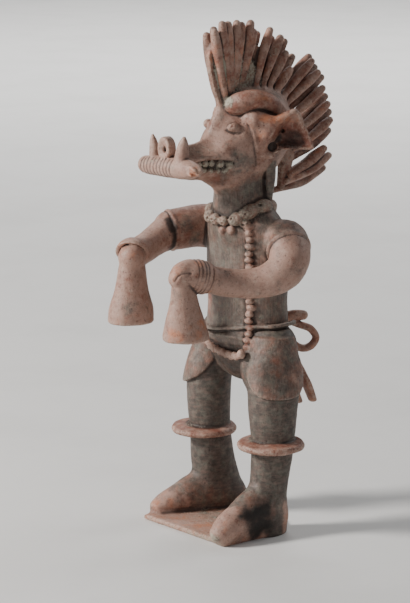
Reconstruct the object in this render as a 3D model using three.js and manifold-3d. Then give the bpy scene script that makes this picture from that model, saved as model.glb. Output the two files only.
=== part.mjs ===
// Colima shaman figure: a standing man in an animal mask, one piece of fired clay on a thin base plate.
// Millimetres, +Z up. The figure looks along -Y and its left hand is on the +X side.
// The origin is on the flat underside, below the middle of the base plate.
import * as THREE from 'three';
import Module from 'manifold-3d';

const wasm = await Module();
wasm.setup();

// Driving sizes
const PLATE_THICK = 4.5; // base plate
const PLATE_TOP = 6; // every height below is measured from a level this far under the plate's top
const LEG_APART = 41; // leg axis from the middle plane
const LEG_DEPTH = 11.5; // leg axis behind the origin
const SHIN_R = 17.2;
const THIGH_R = 22;
const KNEE_RING_R = 28;
const KNEE_RING_HALF = 3.6; // half the ring's thickness
const KNEE_RING_Z = { left: 77.5, right: 75 };
const BODY_Y = 20; // body axis behind the origin
const HEM_Z = 165; // lower edge of the tunic
const FOREARM_R = 11.8;
const BELL_BASE_R = 18.4;
const BELL_WIDER = 1.12; // the bells are a little wider fore and aft than across
const BAR_Y = -65; // nose bar axis
const BAR_Z = 312;
const BAR_NEAR = 39.5; // the bar's reach to the figure's left
const BAR_FAR = 36; // and to its right
const BAR_R = 7.8;
const BAR_RIBS = 9;
const FAN_Y = 24; // centre of the feather fan
const FAN_Z = 318;
const FEATHER_R = 4.3;
const LAYER_X = 4.6; // each feather layer's distance from the middle plane
const BEAD_R = 3.1;
const BEAD_PITCH = 5.8;
const LACING_X = 27; // the row of pellets down the left of the chest
const COLLAR_LUMPS = 13;
const TOOTH_R = 3.3;

const UP = new THREE.Vector3(0, 0, 1);
const ACROSS = new THREE.Vector3(1, 0, 0);

/** A solid from a closed geometry whose doubled corners are welded. */
function toSolid(geometry) {
  const position = geometry.getAttribute('position');
  const index = geometry.getIndex();
  const ids = new Map();
  const verts = [];
  const map = [];
  for (let i = 0; i < position.count; i += 1) {
    const p = [position.getX(i), position.getY(i), position.getZ(i)];
    const key = p.map((v) => Math.round(v * 1e4)).join();
    if (!ids.has(key)) {
      ids.set(key, verts.length / 3);
      verts.push(...p);
    }
    map.push(ids.get(key));
  }
  const tris = [];
  const count = index ? index.count : position.count;
  for (let i = 0; i < count; i += 3) {
    const t = [0, 1, 2].map((k) => map[index ? index.getX(i + k) : i + k]);
    if (t[0] !== t[1] && t[1] !== t[2] && t[2] !== t[0]) tris.push(...t);
  }
  return new wasm.Manifold(new wasm.Mesh({
    numProp: 3, vertProperties: new Float32Array(verts), triVerts: new Uint32Array(tris),
  }));
}

/**
 * A closed body along a line of stations [x, y, z, half size along 'ref', half size across it].
 * With 'rings' the stations are joined by a smooth curve, else by straight lines.
 */
function tubeGeometry(stations, sides, rings = 0, ref = UP) {
  const spine = new THREE.CatmullRomCurve3(stations.map((s) => new THREE.Vector3(s[0], s[1], s[2])));
  const girth = new THREE.CatmullRomCurve3(stations.map((s) => new THREE.Vector3(s[3], s[4] ?? s[3], 0)));
  spine.curveType = 'catmullrom';
  girth.curveType = 'catmullrom';
  spine.tension = 0.5;
  girth.tension = 0.5;
  const last = rings || stations.length - 1;
  const geometry = new THREE.CylinderGeometry(1, 1, last, sides, last);
  const position = geometry.getAttribute('position');
  const frames = [];
  let side = ref;
  for (let row = 0; row <= last; row += 1) {
    const along = spine.getTangent(row / last);
    side = side.clone().addScaledVector(along, -side.dot(along)).normalize();
    frames.push({
      middle: spine.getPoint(row / last),
      size: girth.getPoint(row / last),
      side,
      across: new THREE.Vector3().crossVectors(along, side),
    });
  }
  for (let i = 0; i < position.count; i += 1) {
    const at = frames[Math.round(position.getY(i) + last / 2)];
    const point = at.middle.clone().addScaledVector(at.side, position.getX(i) * at.size.x);
    point.addScaledVector(at.across, -position.getZ(i) * at.size.y);
    position.setXYZ(i, point.x, point.y, point.z);
  }
  return geometry;
}

const tube = (...shape) => outward(tubeGeometry(...shape));

/** Turns a closed body right side out if its faces look inward. */
function outward(geometry) {
  const g = geometry.index ? geometry.toNonIndexed() : geometry;
  const p = g.getAttribute('position');
  const [u, v, w] = [new THREE.Vector3(), new THREE.Vector3(), new THREE.Vector3()];
  let volume = 0;
  for (let i = 0; i < p.count; i += 3) {
    u.fromBufferAttribute(p, i);
    v.fromBufferAttribute(p, i + 1);
    w.fromBufferAttribute(p, i + 2);
    volume += u.dot(v.clone().cross(w));
  }
  if (volume < 0) {
    for (let i = 0; i < p.count; i += 3) {
      v.fromBufferAttribute(p, i + 1);
      w.fromBufferAttribute(p, i + 2);
      p.setXYZ(i + 1, w.x, w.y, w.z);
      p.setXYZ(i + 2, v.x, v.y, v.z);
    }
  }
  return toSolid(g);
}

/** A pellet of clay; half sizes along X, Y and Z. */
function pellet(x, y, z, rx, ry = rx, rz = rx, around = 5, down = 3) {
  return toSolid(new THREE.SphereGeometry(1, around, down).scale(rx, ry, rz).translate(x, y, z));
}

/** A flat slab: outline points in its own plane, thickness half each way; frame places the plane. */
function slab(outline, halfThick, frame) {
  const shape = new THREE.Shape(outline.map(([s, t]) => new THREE.Vector2(s, t)));
  const flat = new THREE.ExtrudeGeometry(shape, { depth: 2 * halfThick, bevelEnabled: false });
  return outward(flat.translate(0, 0, -halfThick).applyMatrix4(frame));
}

/** Frame whose first axis is 'along', second axis is up, at the point given. */
function upright(along, x, y, z) {
  const s = new THREE.Vector3(...along).normalize();
  const n = new THREE.Vector3().crossVectors(s, UP);
  return new THREE.Matrix4().makeBasis(s, UP, n).setPosition(x, y, z);
}

const join = (list) => list.reduce((sum, body) => sum.add(body));
const mirrorX = (stations) => stations.map(([x, ...rest]) => [-x, ...rest]);
const radians = THREE.MathUtils.degToRad;

/** Thin irregular plate that the feet stand on. */
function basePlate() {
  const outline = [[-54, -49], [49, -47], [53, 12], [49, 20], [28, 36], [-22, 53], [-46, 52]];
  const flat = new THREE.Matrix4().setPosition(0, 0, PLATE_TOP - PLATE_THICK / 2);
  return slab(outline, PLATE_THICK / 2, flat);
}

/** Flat collar of clay round a leg below the knee. */
function kneeRing(x, y, z) {
  const h = KNEE_RING_HALF;
  const steps = [[-h, 0.8], [-h * 0.45, 0.97], [h * 0.45, 0.97], [h, 0.8]];
  const r = KNEE_RING_R;
  return tube(steps.map(([dz, k]) => [x, y, z + dz, r * k, r * k]), 16, 0, ACROSS);
}

/** Left leg and foot; the foot points ahead and a little outwards. */
function leftLeg() {
  const x = LEG_APART;
  const y = LEG_DEPTH;
  const leg = tube([
    [x, 7, 4, 15, 17], [x, 7.5, 24, 14.5, 16], [x, 8.5, 42, 15.4, 16.4], [x + 1, y, 75, SHIN_R, SHIN_R + 0.8],
    [x + 1, y + 0.5, 110, 20.6, 20.6], [x - 1, y + 3, 135, THIGH_R + 0.5, THIGH_R], [x - 6, 18, 158, 21, 20],
  ], 10, 6, ACROSS);
  const foot = tube([
    [x, 14, 16, 11, 12], [x, 2, 23, 20, 15], [x, -10, 22, 19, 15], [x + 1, -24, 18, 15, 13.5],
    [x + 2, -38, 15, 11.8, 11.5], [x + 3, -48, 12, 8, 9], [x + 3.5, -53, 10, 3.5, 4.5],
  ], 9, 0, UP);
  return [leg, foot, kneeRing(x + 2, y - 2.5, KNEE_RING_Z.left)];
}

/** Right leg and foot; its calf leans back further and its foot is shorter. */
function rightLeg() {
  const x = -LEG_APART;
  const y = LEG_DEPTH;
  const leg = tube([
    [x + 5, 30, 4, 14, 20], [x + 4, 23, 20, 15, 20], [x + 3, 15.5, 42, 16.5, 20], [x + 2, y + 0.5, 75, 17.2, 17.8],
    [x + 1, y, 110, 18.4, 19], [x + 3, y + 2, 135, 18, 19], [x + 9, 19, 160, 17, 18],
  ], 10, 6, ACROSS);
  const foot = tube([
    [x + 6, 34, 14, 10, 12], [x + 3, 16, 20, 17, 15], [x, 0, 20, 17, 14.5], [x - 4, -14, 16.5, 13, 13],
    [x - 8, -26, 13.5, 10, 11.5], [x - 10, -36, 11, 7, 9], [x - 11, -42, 9.5, 3, 4.5],
  ], 9, 0, UP);
  return [leg, foot, kneeRing(x - 1, y - 3.5, KNEE_RING_Z.right)];
}

/** Half width and half depth of the tunic at each height. */
const BODY = [
  [140, 36, 22], [152, 41.5, 24.5], [HEM_Z - 4, 41, 25], [HEM_Z - 1, 43.4, 27.4], [HEM_Z + 6, 42, 26.6],
  [190, 40.6, 26.4], [215, 41.6, 26.8], [235, 43, 26.2], [250, 43, 24], [262, 34, 21], [272, 24, 20],
];

/** Tunic-clad torso and the thick neck. */
function body() {
  const stations = BODY.map(([z, a, b]) => [0, BODY_Y - Math.max(0, z - 245) * 0.25, z, a, b]);
  const neck = tube([
    [0, 14, 255, 25, 24], [0, 13, 272, 23.4, 23], [0, 12.5, 286, 22.6, 22.6], [0, 11.5, 296, 22, 25],
  ], 10, 3, ACROSS);
  return [tube(stations, 14, 0, ACROSS), neck];
}

/** Front surface of the tunic at a height and a distance to one side. */
function chestY(x, z) {
  const i = Math.max(1, BODY.findIndex((row) => row[0] >= z));
  const k = (z - BODY[i - 1][0]) / (BODY[i][0] - BODY[i - 1][0]);
  const a = THREE.MathUtils.lerp(BODY[i - 1][1], BODY[i][1], k);
  const b = THREE.MathUtils.lerp(BODY[i - 1][2], BODY[i][2], k);
  return BODY_Y - Math.max(0, z - 245) * 0.25 - b * Math.sqrt(Math.max(0, 1 - (x / a) ** 2));
}

/** Row of pellets down the left of the chest and two more pellets under the collar. */
function lacing() {
  const pellets = [];
  for (let z = HEM_Z - 8; z < 264; z += BEAD_PITCH) {
    const x = LACING_X - Math.max(0, z - 250) * 0.3;
    pellets.push(pellet(x, chestY(x, z) - 0.8, z, BEAD_R + 0.6, BEAD_R, BEAD_R));
  }
  const brooches = [[8, -5.5, 256.5], [-0.5, -7.5, 254.5]].map((p) => pellet(...p, 3.6, 3, 3.4));
  return [...pellets, ...brooches];
}

/** Rope collar: slanted lumps round the foot of the neck, lower in front. */
function collar() {
  const lumps = [];
  for (let i = 0; i < COLLAR_LUMPS; i += 1) {
    const turn = (i / COLLAR_LUMPS) * 2 * Math.PI;
    const x = 25.5 * Math.sin(turn);
    const y = 12 - 24 * Math.cos(turn);
    const z = 262 + 11 * THREE.MathUtils.smoothstep(y, -12, 14);
    const lump = new THREE.SphereGeometry(1, 6, 3).scale(6.9, 5.6, 5.4);
    lump.rotateY(radians(-24)).rotateZ(turn).translate(x, y, z);
    lumps.push(toSolid(lump));
  }
  return lumps;
}

/** Hip pads: flat oval aprons over the front of each thigh, and the rope hem between them. */
function hips() {
  const pads = [[1, [LEG_APART + 8.5, 1.5, 142], [25.5, 14, 26]], [-1, [-LEG_APART + 1, 4.5, 140], [20, 14, 24]]];
  const aprons = pads.map(([side, place, size]) => {
    const pad = new THREE.SphereGeometry(1, 10, 6).scale(...size);
    return toSolid(pad.rotateZ(radians(side * 42)).translate(...place));
  });
  const hem = tube([[-32, 2, 158, 2.6], [-20, -3.5, 153, 2.8], [-4, -6, 151, 3], [12, -5.5, 150, 3],
    [26, -3, 154, 2.8], [34, 2, 160, 2.6]], 6, 8);
  const seat = pellet(0, 22, 148, 37, 24, 17, 10, 6);
  return [...aprons, hem, seat];
}

/** Sash knotted behind the left hip: a stub, a standing loop and two flat hanging ends. */
function sash() {
  const stub = tube([[16, 44, 176, 4], [21, 53, 177.5, 4.2], [25, 61, 177.5, 3.2]], 7, 3);
  const loop = tube([[19, 46, 172, 3, 3.6], [24, 59, 168.5, 2.6, 3.8], [28, 66, 165, 2.6, 4],
    [30.5, 70.5, 157.5, 2.6, 4], [28.5, 67, 150, 2.6, 4], [24.5, 60, 148, 2.6, 4], [21, 53, 153, 2.6, 4],
    [17, 46, 163, 2.6, 4]], 5, 13);
  const ends = [[29, 68, 102], [23, 57, 101]].map(([x, y, z], i) => tube([
    [14 + 4 * i, 36, 160, 5, 3], [21 - 2 * i, 53 - 5 * i, 140, 6, 3], [x - 2, y - 5, 118, 6.5, 2.8],
    [x, y, z, 5.5, 2.4]], 6, 0, ACROSS));
  return [stub, loop, ...ends];
}

/** Flaring hand bell, mouth down; its axis leans a little towards the foot end. */
function bell(x, y, top, foot, lean, neck = 0.38) {
  const r = BELL_BASE_R;
  const profile = [[0, 0.95], [0.04, 1], [0.24, 0.6 + neck * 0.6], [0.56, 0.3 + neck * 0.75], [1, neck]];
  const tall = top - foot;
  return tube(profile.map(([k, w]) => [
    x, y + lean * (1 - k), foot + tall * k, r * w, r * w * BELL_WIDER]), 12, 0, ACROSS);
}

/** Left arm: held low and ahead, hand closed on a bell. */
function leftArm() {
  const sleeve = tube([[24, 20, 243, 17, 15], [40, 22, 247, 18.4, 17], [50, 21.5, 246, 18.6, 17.8],
    [58, 18, 240, 18, 18]], 10, 3);
  const r = FOREARM_R;
  const arm = tube([[44, 22, 246, 15, 15], [55, 19.5, 242, 17, 17], [60.5, 13.5, 233, 17, 16.6],
    [58.5, 3, 222.5, 14.6, 14.6], [50.5, -9, 218, 12.8, 12.8], [42, -24, 217.6, r, r],
    [35, -42, 221, r - 0.4, r - 0.4], [31, -61, 227, r - 0.6, r - 0.6]], 9, 8);
  const cuff = tube([[33.8, -47.5, 222.6, 13, 12.8], [31, -60.5, 226.8, 13.4, 12.8]], 9);
  const hand = tube([[31, -60, 227.5, 11, 10], [29.5, -67, 229, 12.2, 10.4], [28.7, -75, 228, 11, 9.6],
    [28.5, -81, 225, 5, 5]], 8, 4);
  return [sleeve, arm, cuff, hand, bell(29, -74, 232, 175.5, 3.5)];
}

/** Right arm: raised higher, fist over the second bell. */
function rightArm() {
  const sleeve = tube([[-24, 20, 243, 17, 15], [-42, 16, 248, 18.6, 17], [-54, 3, 249, 18.4, 17.4],
    [-56.5, -10, 248, 17.6, 17], [-56, -19, 247, 17.2, 16.4]], 10, 4);
  const r = FOREARM_R;
  const arm = tube([[-56, -10, 248, 14.8, 14.8], [-55, -22, 246, 14.6, 14.4], [-50.5, -38, 242.5, 12.6, 12.6],
    [-45, -54, 238, 12, 12], [-40, -67, 233.5, r, r]], 9, 4);
  const cuff = pellet(-41.5, -70, 233.5, 12.6, 12.4, 14, 8, 5);
  const fist = pellet(-36.5, -74, 232, 11.4, 11.6, 12.4, 8, 5);
  return [sleeve, arm, cuff, fist, bell(-37, -73, 228, 180, -2, 0.54)];
}

/** Mask and skull from muzzle to nape: y, middle height, half width, half height. */
const HEAD = [
  [-59, 313, 6, 9], [-50, 313.5, 9.6, 13.2], [-44, 313.7, 11, 14.4], [-36, 313.9, 12.4, 15.2],
  [-29, 314, 14, 17.2], [-23.5, 315, 15.8, 21], [-17.5, 319, 18.6, 28.6], [-10, 322, 23, 35.4],
  [0, 325, 27.4, 39.6], [12, 327.5, 30.2, 41.5], [25, 330, 31, 39.5], [38, 334, 28, 33], [49, 338, 20, 24],
  [56, 340, 8, 11],
];

/** Narrows the upper half of the face towards the ridge of the brow and muzzle. */
function keeled(geometry) {
  const p = geometry.getAttribute('position');
  const [ys, middles, heights] = [0, 1, 3].map((k) => HEAD.map((row) => row[k]));
  for (let i = 0; i < p.count; i += 1) {
    const row = ys.reduce((best, y, k) => (Math.abs(y - p.getY(i)) < Math.abs(ys[best] - p.getY(i)) ? k : best), 0);
    const up = p.getZ(i) / heights[row];
    p.setZ(i, p.getZ(i) + middles[row]);
    const fade = 1 - THREE.MathUtils.smoothstep(ys[row], -12, 14);
    p.setX(i, p.getX(i) * (1 - 0.5 * fade * THREE.MathUtils.smoothstep(up, 0.2, 0.9)));
  }
  return geometry.toNonIndexed();
}

/** The mask with its eyes, open mouth and teeth. */
function head() {
  const mask = outward(keeled(tubeGeometry(HEAD.map(([y, , w, h]) => [0, y, 0, w, h]), 14, 0, ACROSS)));
  const eyes = [1, -1].map((side) => {
    const eye = new THREE.SphereGeometry(1, 6, 4).scale(5, 3, 3.4).rotateZ(radians(side * 58));
    return toSolid(eye.translate(side * 15.5, -10, 339.5));
  });
  const cuts = [1, -1].map((side) => tube([
    [side * 12, -62, 309, 5.6, 4.6], [side * 14.5, -36, 310.2, 5.6, 4.6], [side * 21, -18, 310, 5, 4],
    [side * 26, -9.5, 310, 1.8, 2]], 5));
  const teeth = [];
  for (const side of [1, -1]) {
    for (let i = 0; i < 5; i += 1) {
      const y = -46 + 7 * i;
      const x = 9.8 + 0.17 * i * (i + 5);
      teeth.push(pellet(side * x, y, 312.6, TOOTH_R));
      if (i > 0 && i < 4) teeth.push(pellet(side * x, y - 1.5, 306.4, TOOTH_R * 0.92));
    }
  }
  return join([mask, ...eyes]).subtract(join(cuts)).add(join(teeth));
}

/** Ear: a cupped leaf standing out and back from the mask, with the ear hole at its root. */
function ear(side) {
  const outline = [[-6, -22], [8, -17.5], [16, -16.5], [27, -14], [42, -13.5], [43.5, -11], [39, 5], [33, 16],
    [28.5, 21], [24, 20.5], [11, 17.5], [-6, 17]];
  const hollow = [[5, -10], [14, -11], [27, -9.5], [38.5, -9.5], [36, 3], [31, 12], [25, 13.5], [11, 7]];
  const [x, y, z] = [side * 28, 11, 334];
  const leaf = slab(outline, 4, upright([side * 0.6, 0.8, 0], x, y, z));
  const cup = slab(hollow, 2.5, upright([side * 0.6, 0.8, 0], x + side * 2.8, y - 2.1, z));
  const rim = tube([[side * 20, 9, 350, 7], [side * 32, 17.5, 348.5, 5.6], [side * 41, 29, 351.5, 4.6],
    [side * 46.5, 36, 353.5, 3]], 5);
  return leaf.subtract(cup).add(rim);
}

/** Bands hanging from the ears to the shoulders. */
function hangingBands() {
  return [1, -1].map((side) => tube([[side * 25.5, 22, 326, 4, 5.5], [side * 25.5, 22.5, 300, 3.6, 4.6],
    [side * 24, 22.5, 284, 3.2, 3.2], [side * 22.5, 22, 268, 3, 3]], 6, 0, ACROSS));
}

/** Head rolls: a thick coil laid along each side of the crest, from the forehead to behind the ear. */
function headRolls() {
  const near = [[9, -6, 357, 5, 5], [12, -3, 358.5, 8.6, 8], [18, 2, 361, 9, 8.4], [23, 9, 362.5, 8.2, 7.8],
    [25.5, 18, 360, 7.4, 7], [25, 28, 354, 6.6, 6.4], [20, 38, 347, 6, 5.6], [10, 47, 343, 5, 5]];
  const far = mirrorX(near).slice(2).map(([x, y, ...rest]) => [x, y + 9, ...rest]);
  return [near, far].map((line) => tube(line, 6, 7));
}

/** Bar across the muzzle: ringed far half, smooth near half with a curled end, two horns on top. */
function noseBar() {
  const rows = [[-BAR_FAR, 2.6], [-BAR_FAR + 1.6, 5.4]];
  const ribEnd = 4;
  const pitch = (BAR_FAR - 4 + ribEnd) / BAR_RIBS;
  for (let i = 0; i < BAR_RIBS; i += 1) {
    const x = -BAR_FAR + 4 + i * pitch;
    rows.push([x, BAR_R], [x + pitch * 0.75, BAR_R - 1.1]);
  }
  rows.push([ribEnd + 3, BAR_R], [18, BAR_R], [29, BAR_R + 0.6], [34, BAR_R - 0.6], [37.5, 5], [BAR_NEAR, 2]);
  const slope = (x) => BAR_Z + x * 0.035;
  const bar = tube(rows.map(([x, r]) => [x, BAR_Y, slope(x), r, r]), 8);
  const claws = [[36, -69.5, 315.5], [38, -64, 311.5], [34.5, -70.5, 309.5]].map((p) => pellet(...p, 4.6, 3, 3));
  const horns = [-17.5, 19.5].map((x) => tube([[x - Math.sign(x) * 3, BAR_Y, 316, 7, 5.6],
    [x - Math.sign(x) * 1.2, BAR_Y, 327, 4.8, 4.4], [x, BAR_Y, 336, 1.4, 1.4]], 6, 0, ACROSS));
  return [bar, ...claws, ...horns];
}

/** The knob between the horns: an upright disc with a hole through it. */
function barKnob() {
  const disc = new THREE.CylinderGeometry(11.2, 11.2, 9, 12).translate(-4, BAR_Y, 325.5);
  const hole = new THREE.CylinderGeometry(3, 3, 14, 8).translate(-7, BAR_Y, 327);
  return toSolid(disc).subtract(toSolid(hole));
}

// Feather tips as degrees back from upright and distance from the fan centre, front to nape.
const NEAR_TIPS = [[-23.5, 112], [-18.5, 114.5], [-15.5, 112], [-10.5, 110], [-8, 107.5], [-2.6, 107.5],
  [-1, 100], [9.3, 101.7], [16.9, 97.3], [23.3, 86.7], [31.3, 76.7], [42.2, 95.4], [49.9, 93.5], [58.8, 90.4],
  [68.3, 89], [77.4, 87.8], [93.2, 79.3], [97.5, 85.5]];
const FAR_TIPS = [[-24.5, 109], [-19, 110], [-11, 109], [-3, 102], [6.3, 97.3], [15.9, 95.5], [25, 97.3],
  [35, 92], [45, 101], [55, 100], [66.6, 96], [75.3, 96], [84.7, 93], [95, 85], [105, 90]];

/** The feathers lean: their roots lie nearer the forehead in front and nearer the nape behind. */
function rootAngle(tip) {
  return tip < 50 ? tip - 13 + 6 * THREE.MathUtils.smoothstep(tip, 10, 50) : 43 + 1.85 * (tip - 50);
}

const fanPoint = (degrees, reach) => [
  FAN_Y + reach * Math.sin(radians(degrees)), FAN_Z + reach * Math.cos(radians(degrees))];

/** One feather quill from the sheet's root line to its tip. */
function feather([tip, reach], x) {
  const rootReach = tip < 8 ? 60 : 46;
  const [y0, z0] = fanPoint(rootAngle(tip), rootReach);
  const [y1, z1] = fanPoint((rootAngle(tip) + 1.6 * tip) / 2.6, (rootReach + reach) / 2);
  const [y2, z2] = fanPoint(tip, reach);
  const r = FEATHER_R;
  const near = (a, b, k) => a + (b - a) * k;
  return tube([[x, y0, z0, r, r], [x, y1, z1, r, r], [x, near(y1, y2, 0.8), near(z1, z2, 0.8), r * 0.9, r * 0.9],
    [x, y2, z2, r * 0.35, r * 0.35]], 5, 0, ACROSS);
}

/** The joined sheet that carries the feathers, high over the forehead and low behind. */
function crestSheet() {
  const rim = [[-44, 50], [-39, 66], [-34.5, 82], [-31, 94], [-26, 101], [-20, 100], [-14, 95], [-8, 88],
    [-2, 80], [6, 70], [16, 60], [26, 54],
    [36, 50], [60, 47], [85, 46], [100, 47], [112, 46], [127, 48], [139, 50]];
  const inner = [[54, 283], [55, 306], [44, 318], [20, 330], [-8, 345]];
  const outline = [...rim.map(([degrees, reach]) => fanPoint(degrees, reach)), ...inner];
  return slab(outline, LAYER_X + 0.6, upright([0, 1, 0], 0, 0, 0));
}

/** Sheet and both layers of feathers. */
function crest() {
  return [crestSheet(), ...NEAR_TIPS.map((tip) => feather(tip, LAYER_X)),
    ...FAR_TIPS.map((tip) => feather(tip, -LAYER_X))];
}

const figure = join([
  basePlate(), ...leftLeg(), ...rightLeg(), ...body(), ...lacing(), ...collar(), ...hips(), ...sash(),
  ...leftArm(), ...rightArm(), head(), ear(1), ear(-1), ...hangingBands(), ...headRolls(),
  ...noseBar(), barKnob(), ...crest(),
]);

/** Cuts the figure off level with the underside of its plate. */
function standing(solid) {
  const ground = new THREE.BoxGeometry(400, 400, 100).translate(0, 0, PLATE_TOP - PLATE_THICK - 50);
  return solid.subtract(toSolid(ground));
}

/** The finished solid as mesh data, lowered on to height zero. */
function toGeometry(solid) {
  const mesh = solid.getMesh();
  const geometry = new THREE.BufferGeometry();
  geometry.setAttribute('position', new THREE.BufferAttribute(mesh.vertProperties, 3));
  geometry.setIndex(new THREE.BufferAttribute(mesh.triVerts, 1));
  return geometry.translate(0, 0, PLATE_THICK - PLATE_TOP); // the plate's underside comes to height zero
}

const clay = new THREE.MeshStandardMaterial({ color: 0x8c6350, roughness: 0.72, metalness: 0 });
const shaman = new THREE.Mesh(toGeometry(standing(figure)), clay);
shaman.name = 'shaman_figure';

const group = new THREE.Group();
group.name = 'colima_shaman_figure';
group.add(shaman);
export default group;
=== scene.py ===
"""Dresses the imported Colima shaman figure: one piece of fired clay, modelled by hand and burnished.

The clay is built up as signed distances on a grid, in millimetres, the way the maker joined coils,
pellets and slabs wet into wet. The finished skin is one closed mesh that rides on body "root".
Heights are measured from a level 1.5 mm under the base plate's underside; +Z is up, the figure looks
along -Y and its left hand is on the +X side.
"""

import logging
import math
from dataclasses import dataclass, field
from enum import Enum
from typing import Sequence

import bpy
import numpy as np
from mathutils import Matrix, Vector

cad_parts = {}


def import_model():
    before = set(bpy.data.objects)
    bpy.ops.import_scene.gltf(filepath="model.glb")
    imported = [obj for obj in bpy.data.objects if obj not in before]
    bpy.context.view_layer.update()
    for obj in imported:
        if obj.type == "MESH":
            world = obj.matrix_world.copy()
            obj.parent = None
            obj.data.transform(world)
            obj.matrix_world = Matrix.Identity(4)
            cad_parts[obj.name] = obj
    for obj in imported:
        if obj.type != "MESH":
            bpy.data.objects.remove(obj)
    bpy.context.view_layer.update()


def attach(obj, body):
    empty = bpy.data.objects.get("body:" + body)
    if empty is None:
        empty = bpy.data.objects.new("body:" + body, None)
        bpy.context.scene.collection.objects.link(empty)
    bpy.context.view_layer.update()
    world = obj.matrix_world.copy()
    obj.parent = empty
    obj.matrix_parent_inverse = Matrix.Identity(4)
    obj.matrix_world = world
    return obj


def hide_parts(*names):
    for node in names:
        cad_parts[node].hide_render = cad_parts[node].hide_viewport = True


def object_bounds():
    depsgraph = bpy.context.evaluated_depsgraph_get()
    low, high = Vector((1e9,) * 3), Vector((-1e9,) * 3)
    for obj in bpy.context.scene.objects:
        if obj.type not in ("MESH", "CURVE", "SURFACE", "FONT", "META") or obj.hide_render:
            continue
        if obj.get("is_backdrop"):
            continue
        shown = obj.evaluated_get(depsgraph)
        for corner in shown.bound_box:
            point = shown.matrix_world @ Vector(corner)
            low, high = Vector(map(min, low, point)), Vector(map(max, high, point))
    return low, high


log = logging.getLogger("shaman")

Row = tuple[float, ...]
Grid = np.ndarray
Socket = bpy.types.NodeSocket
Tree = bpy.types.NodeTree

NODE = "shaman_figure"
BODY = "root"
MM = 0.001
GROUND = 1.5  # height of the base plate's underside
FAR = 20.0  # distance written where no clay is near
COIL_REACH = 7.0  # how far round a coil its distances are worked out
TINT_REACH = 0.3  # how far under the skin a new piece still colours it
FINE_PITCH = 0.85
MOST_TRIANGLES = 196000
SKIN_LOW = (-80.0, -102.0, 0.0)
SKIN_HIGH = (82.0, 124.0, 430.0)


class Side(Enum):
    """Which side of the figure a piece is on; the value is the sign of X."""

    LEFT = 1
    RIGHT = -1


@dataclass(frozen=True)
class Wash:
    """How strongly each kind of colour covers a piece, from 0 to 1."""

    pink: float = 0.5
    warm: float = 0.0
    red: float = 0.0
    grey: float = 0.0
    crust: float = 0.0
    # soot: fire clouds and black deposits, and the painted shade that some stains lay
    soot: float = 0.0


class Tint(Enum):
    """The colour that each piece of the figure was left with by slip, kiln and burial."""

    SLIP = Wash()
    PLATE = Wash(pink=0.85, warm=0.38, crust=0.15)
    LEG = Wash(pink=0.06, grey=1.0, soot=0.36)
    FOOT = Wash(pink=0.35, warm=0.1, grey=0.6, soot=0.12)
    KNEE_RING = Wash(pink=0.5, warm=0.25, red=0.5)
    TUNIC = Wash(pink=0.32, grey=0.74, crust=0.08, soot=0.14)
    UNDER = Wash(pink=0.15, grey=0.7, soot=0.4)
    HIP = Wash(pink=0.35, grey=0.58, red=0.22, soot=0.08)
    ROPE = Wash(pink=0.75, red=0.2, crust=0.12)
    SASH = Wash(pink=0.6, warm=0.4, red=0.35)
    ARM = Wash(pink=0.85, grey=0.2, crust=0.05)
    SLEEVE = Wash(pink=0.55, grey=0.45, crust=0.05)
    FAR_SLEEVE = Wash(pink=0.45, red=0.3, grey=0.25)
    HAND = Wash(pink=0.8, warm=0.3)
    BELL = Wash(pink=0.8, warm=0.12, grey=0.18, crust=0.1)
    NECK = Wash(pink=0.25, grey=0.8)
    MASK = Wash(pink=0.62, grey=0.3)
    TOOTH = Wash(pink=0.3, grey=0.4, crust=0.6)
    EAR = Wash(pink=0.5, warm=0.35, red=0.25)
    ROLL = Wash(pink=0.5, red=0.4, warm=0.2)
    BAND = Wash(pink=0.2, grey=0.9)
    BAR = Wash(pink=0.85, grey=0.2)
    CREST = Wash(pink=0.4, red=0.25, grey=0.25, crust=0.25)
    SILT = Wash(pink=0.5, grey=0.35, crust=0.75)
    FEATHER = Wash(pink=0.6, warm=0.3, red=0.35, grey=0.08)
    FAR_FEATHER = Wash(pink=0.45, red=0.35, grey=0.35)
    COLLAR = Wash(pink=0.55, warm=0.05, grey=0.45, crust=0.4)
    PELLET = Wash(pink=0.6, red=0.25, grey=0.2, crust=0.1)


@dataclass(frozen=True)
class Stain:
    """A patch of one kind of colour on the finished skin.

    The patch is an ellipsoid (place and half sizes in millimetres) that fades towards its edge. With a
    facing, it only takes where the surface looks that way; with "hollow" or "ridge", only there.
    """

    kind: str
    place: Row
    half: Row
    strength: float = 1.0
    facing: Row = ()
    firm: float = 0.2
    where: str = ""

    def cover(self, points: Grid, normals: Grid, relief: dict[str, Grid]) -> Grid:
        """How far the patch takes at each point, from 0 to 1.

        Args:
            points: places on the skin, in millimetres.
            normals: where the skin looks.
            relief: how strongly each point lies in a hollow or on a ridge.

        Returns:
            One share per point.
        """
        away = np.sqrt((((points - self.place) / np.array(self.half)) ** 2).sum(axis=1))
        wobble = 0.25 * lattice_noise(points, 0.35 * min(self.half) + 2, 9)
        share = 1 - smooth_step(away + wobble, self.firm, 1.0)
        if self.facing:
            look = np.array(self.facing) / np.linalg.norm(self.facing)
            share *= smooth_step(normals @ look, -0.1, 0.45)
        if self.where:
            share *= smooth_step(relief[self.where], 0.05, 0.6)
        return share


# Sculpting: distances on a grid


def smooth_step(value: Grid, low: float, high: float) -> Grid:
    """Eased rise from 0 at low to 1 at high."""
    t = np.clip((value - low) / (high - low), 0.0, 1.0)
    return t * t * (3.0 - 2.0 * t)


def blend_in(a: Grid, b: Grid, soft: float) -> Grid:
    """Union of two distance fields with a fillet of clay between them.

    Args:
        a: distances of the clay so far.
        b: distances of the piece that is pressed on.
        soft: how far from the joint the fillet reaches, in millimetres.

    Returns:
        The joined distances.
    """
    if soft <= 0:
        return np.minimum(a, b)
    near = np.maximum(soft - np.abs(a - b), 0.0) / soft
    return np.minimum(a, b) - near * near * soft * 0.25


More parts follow.
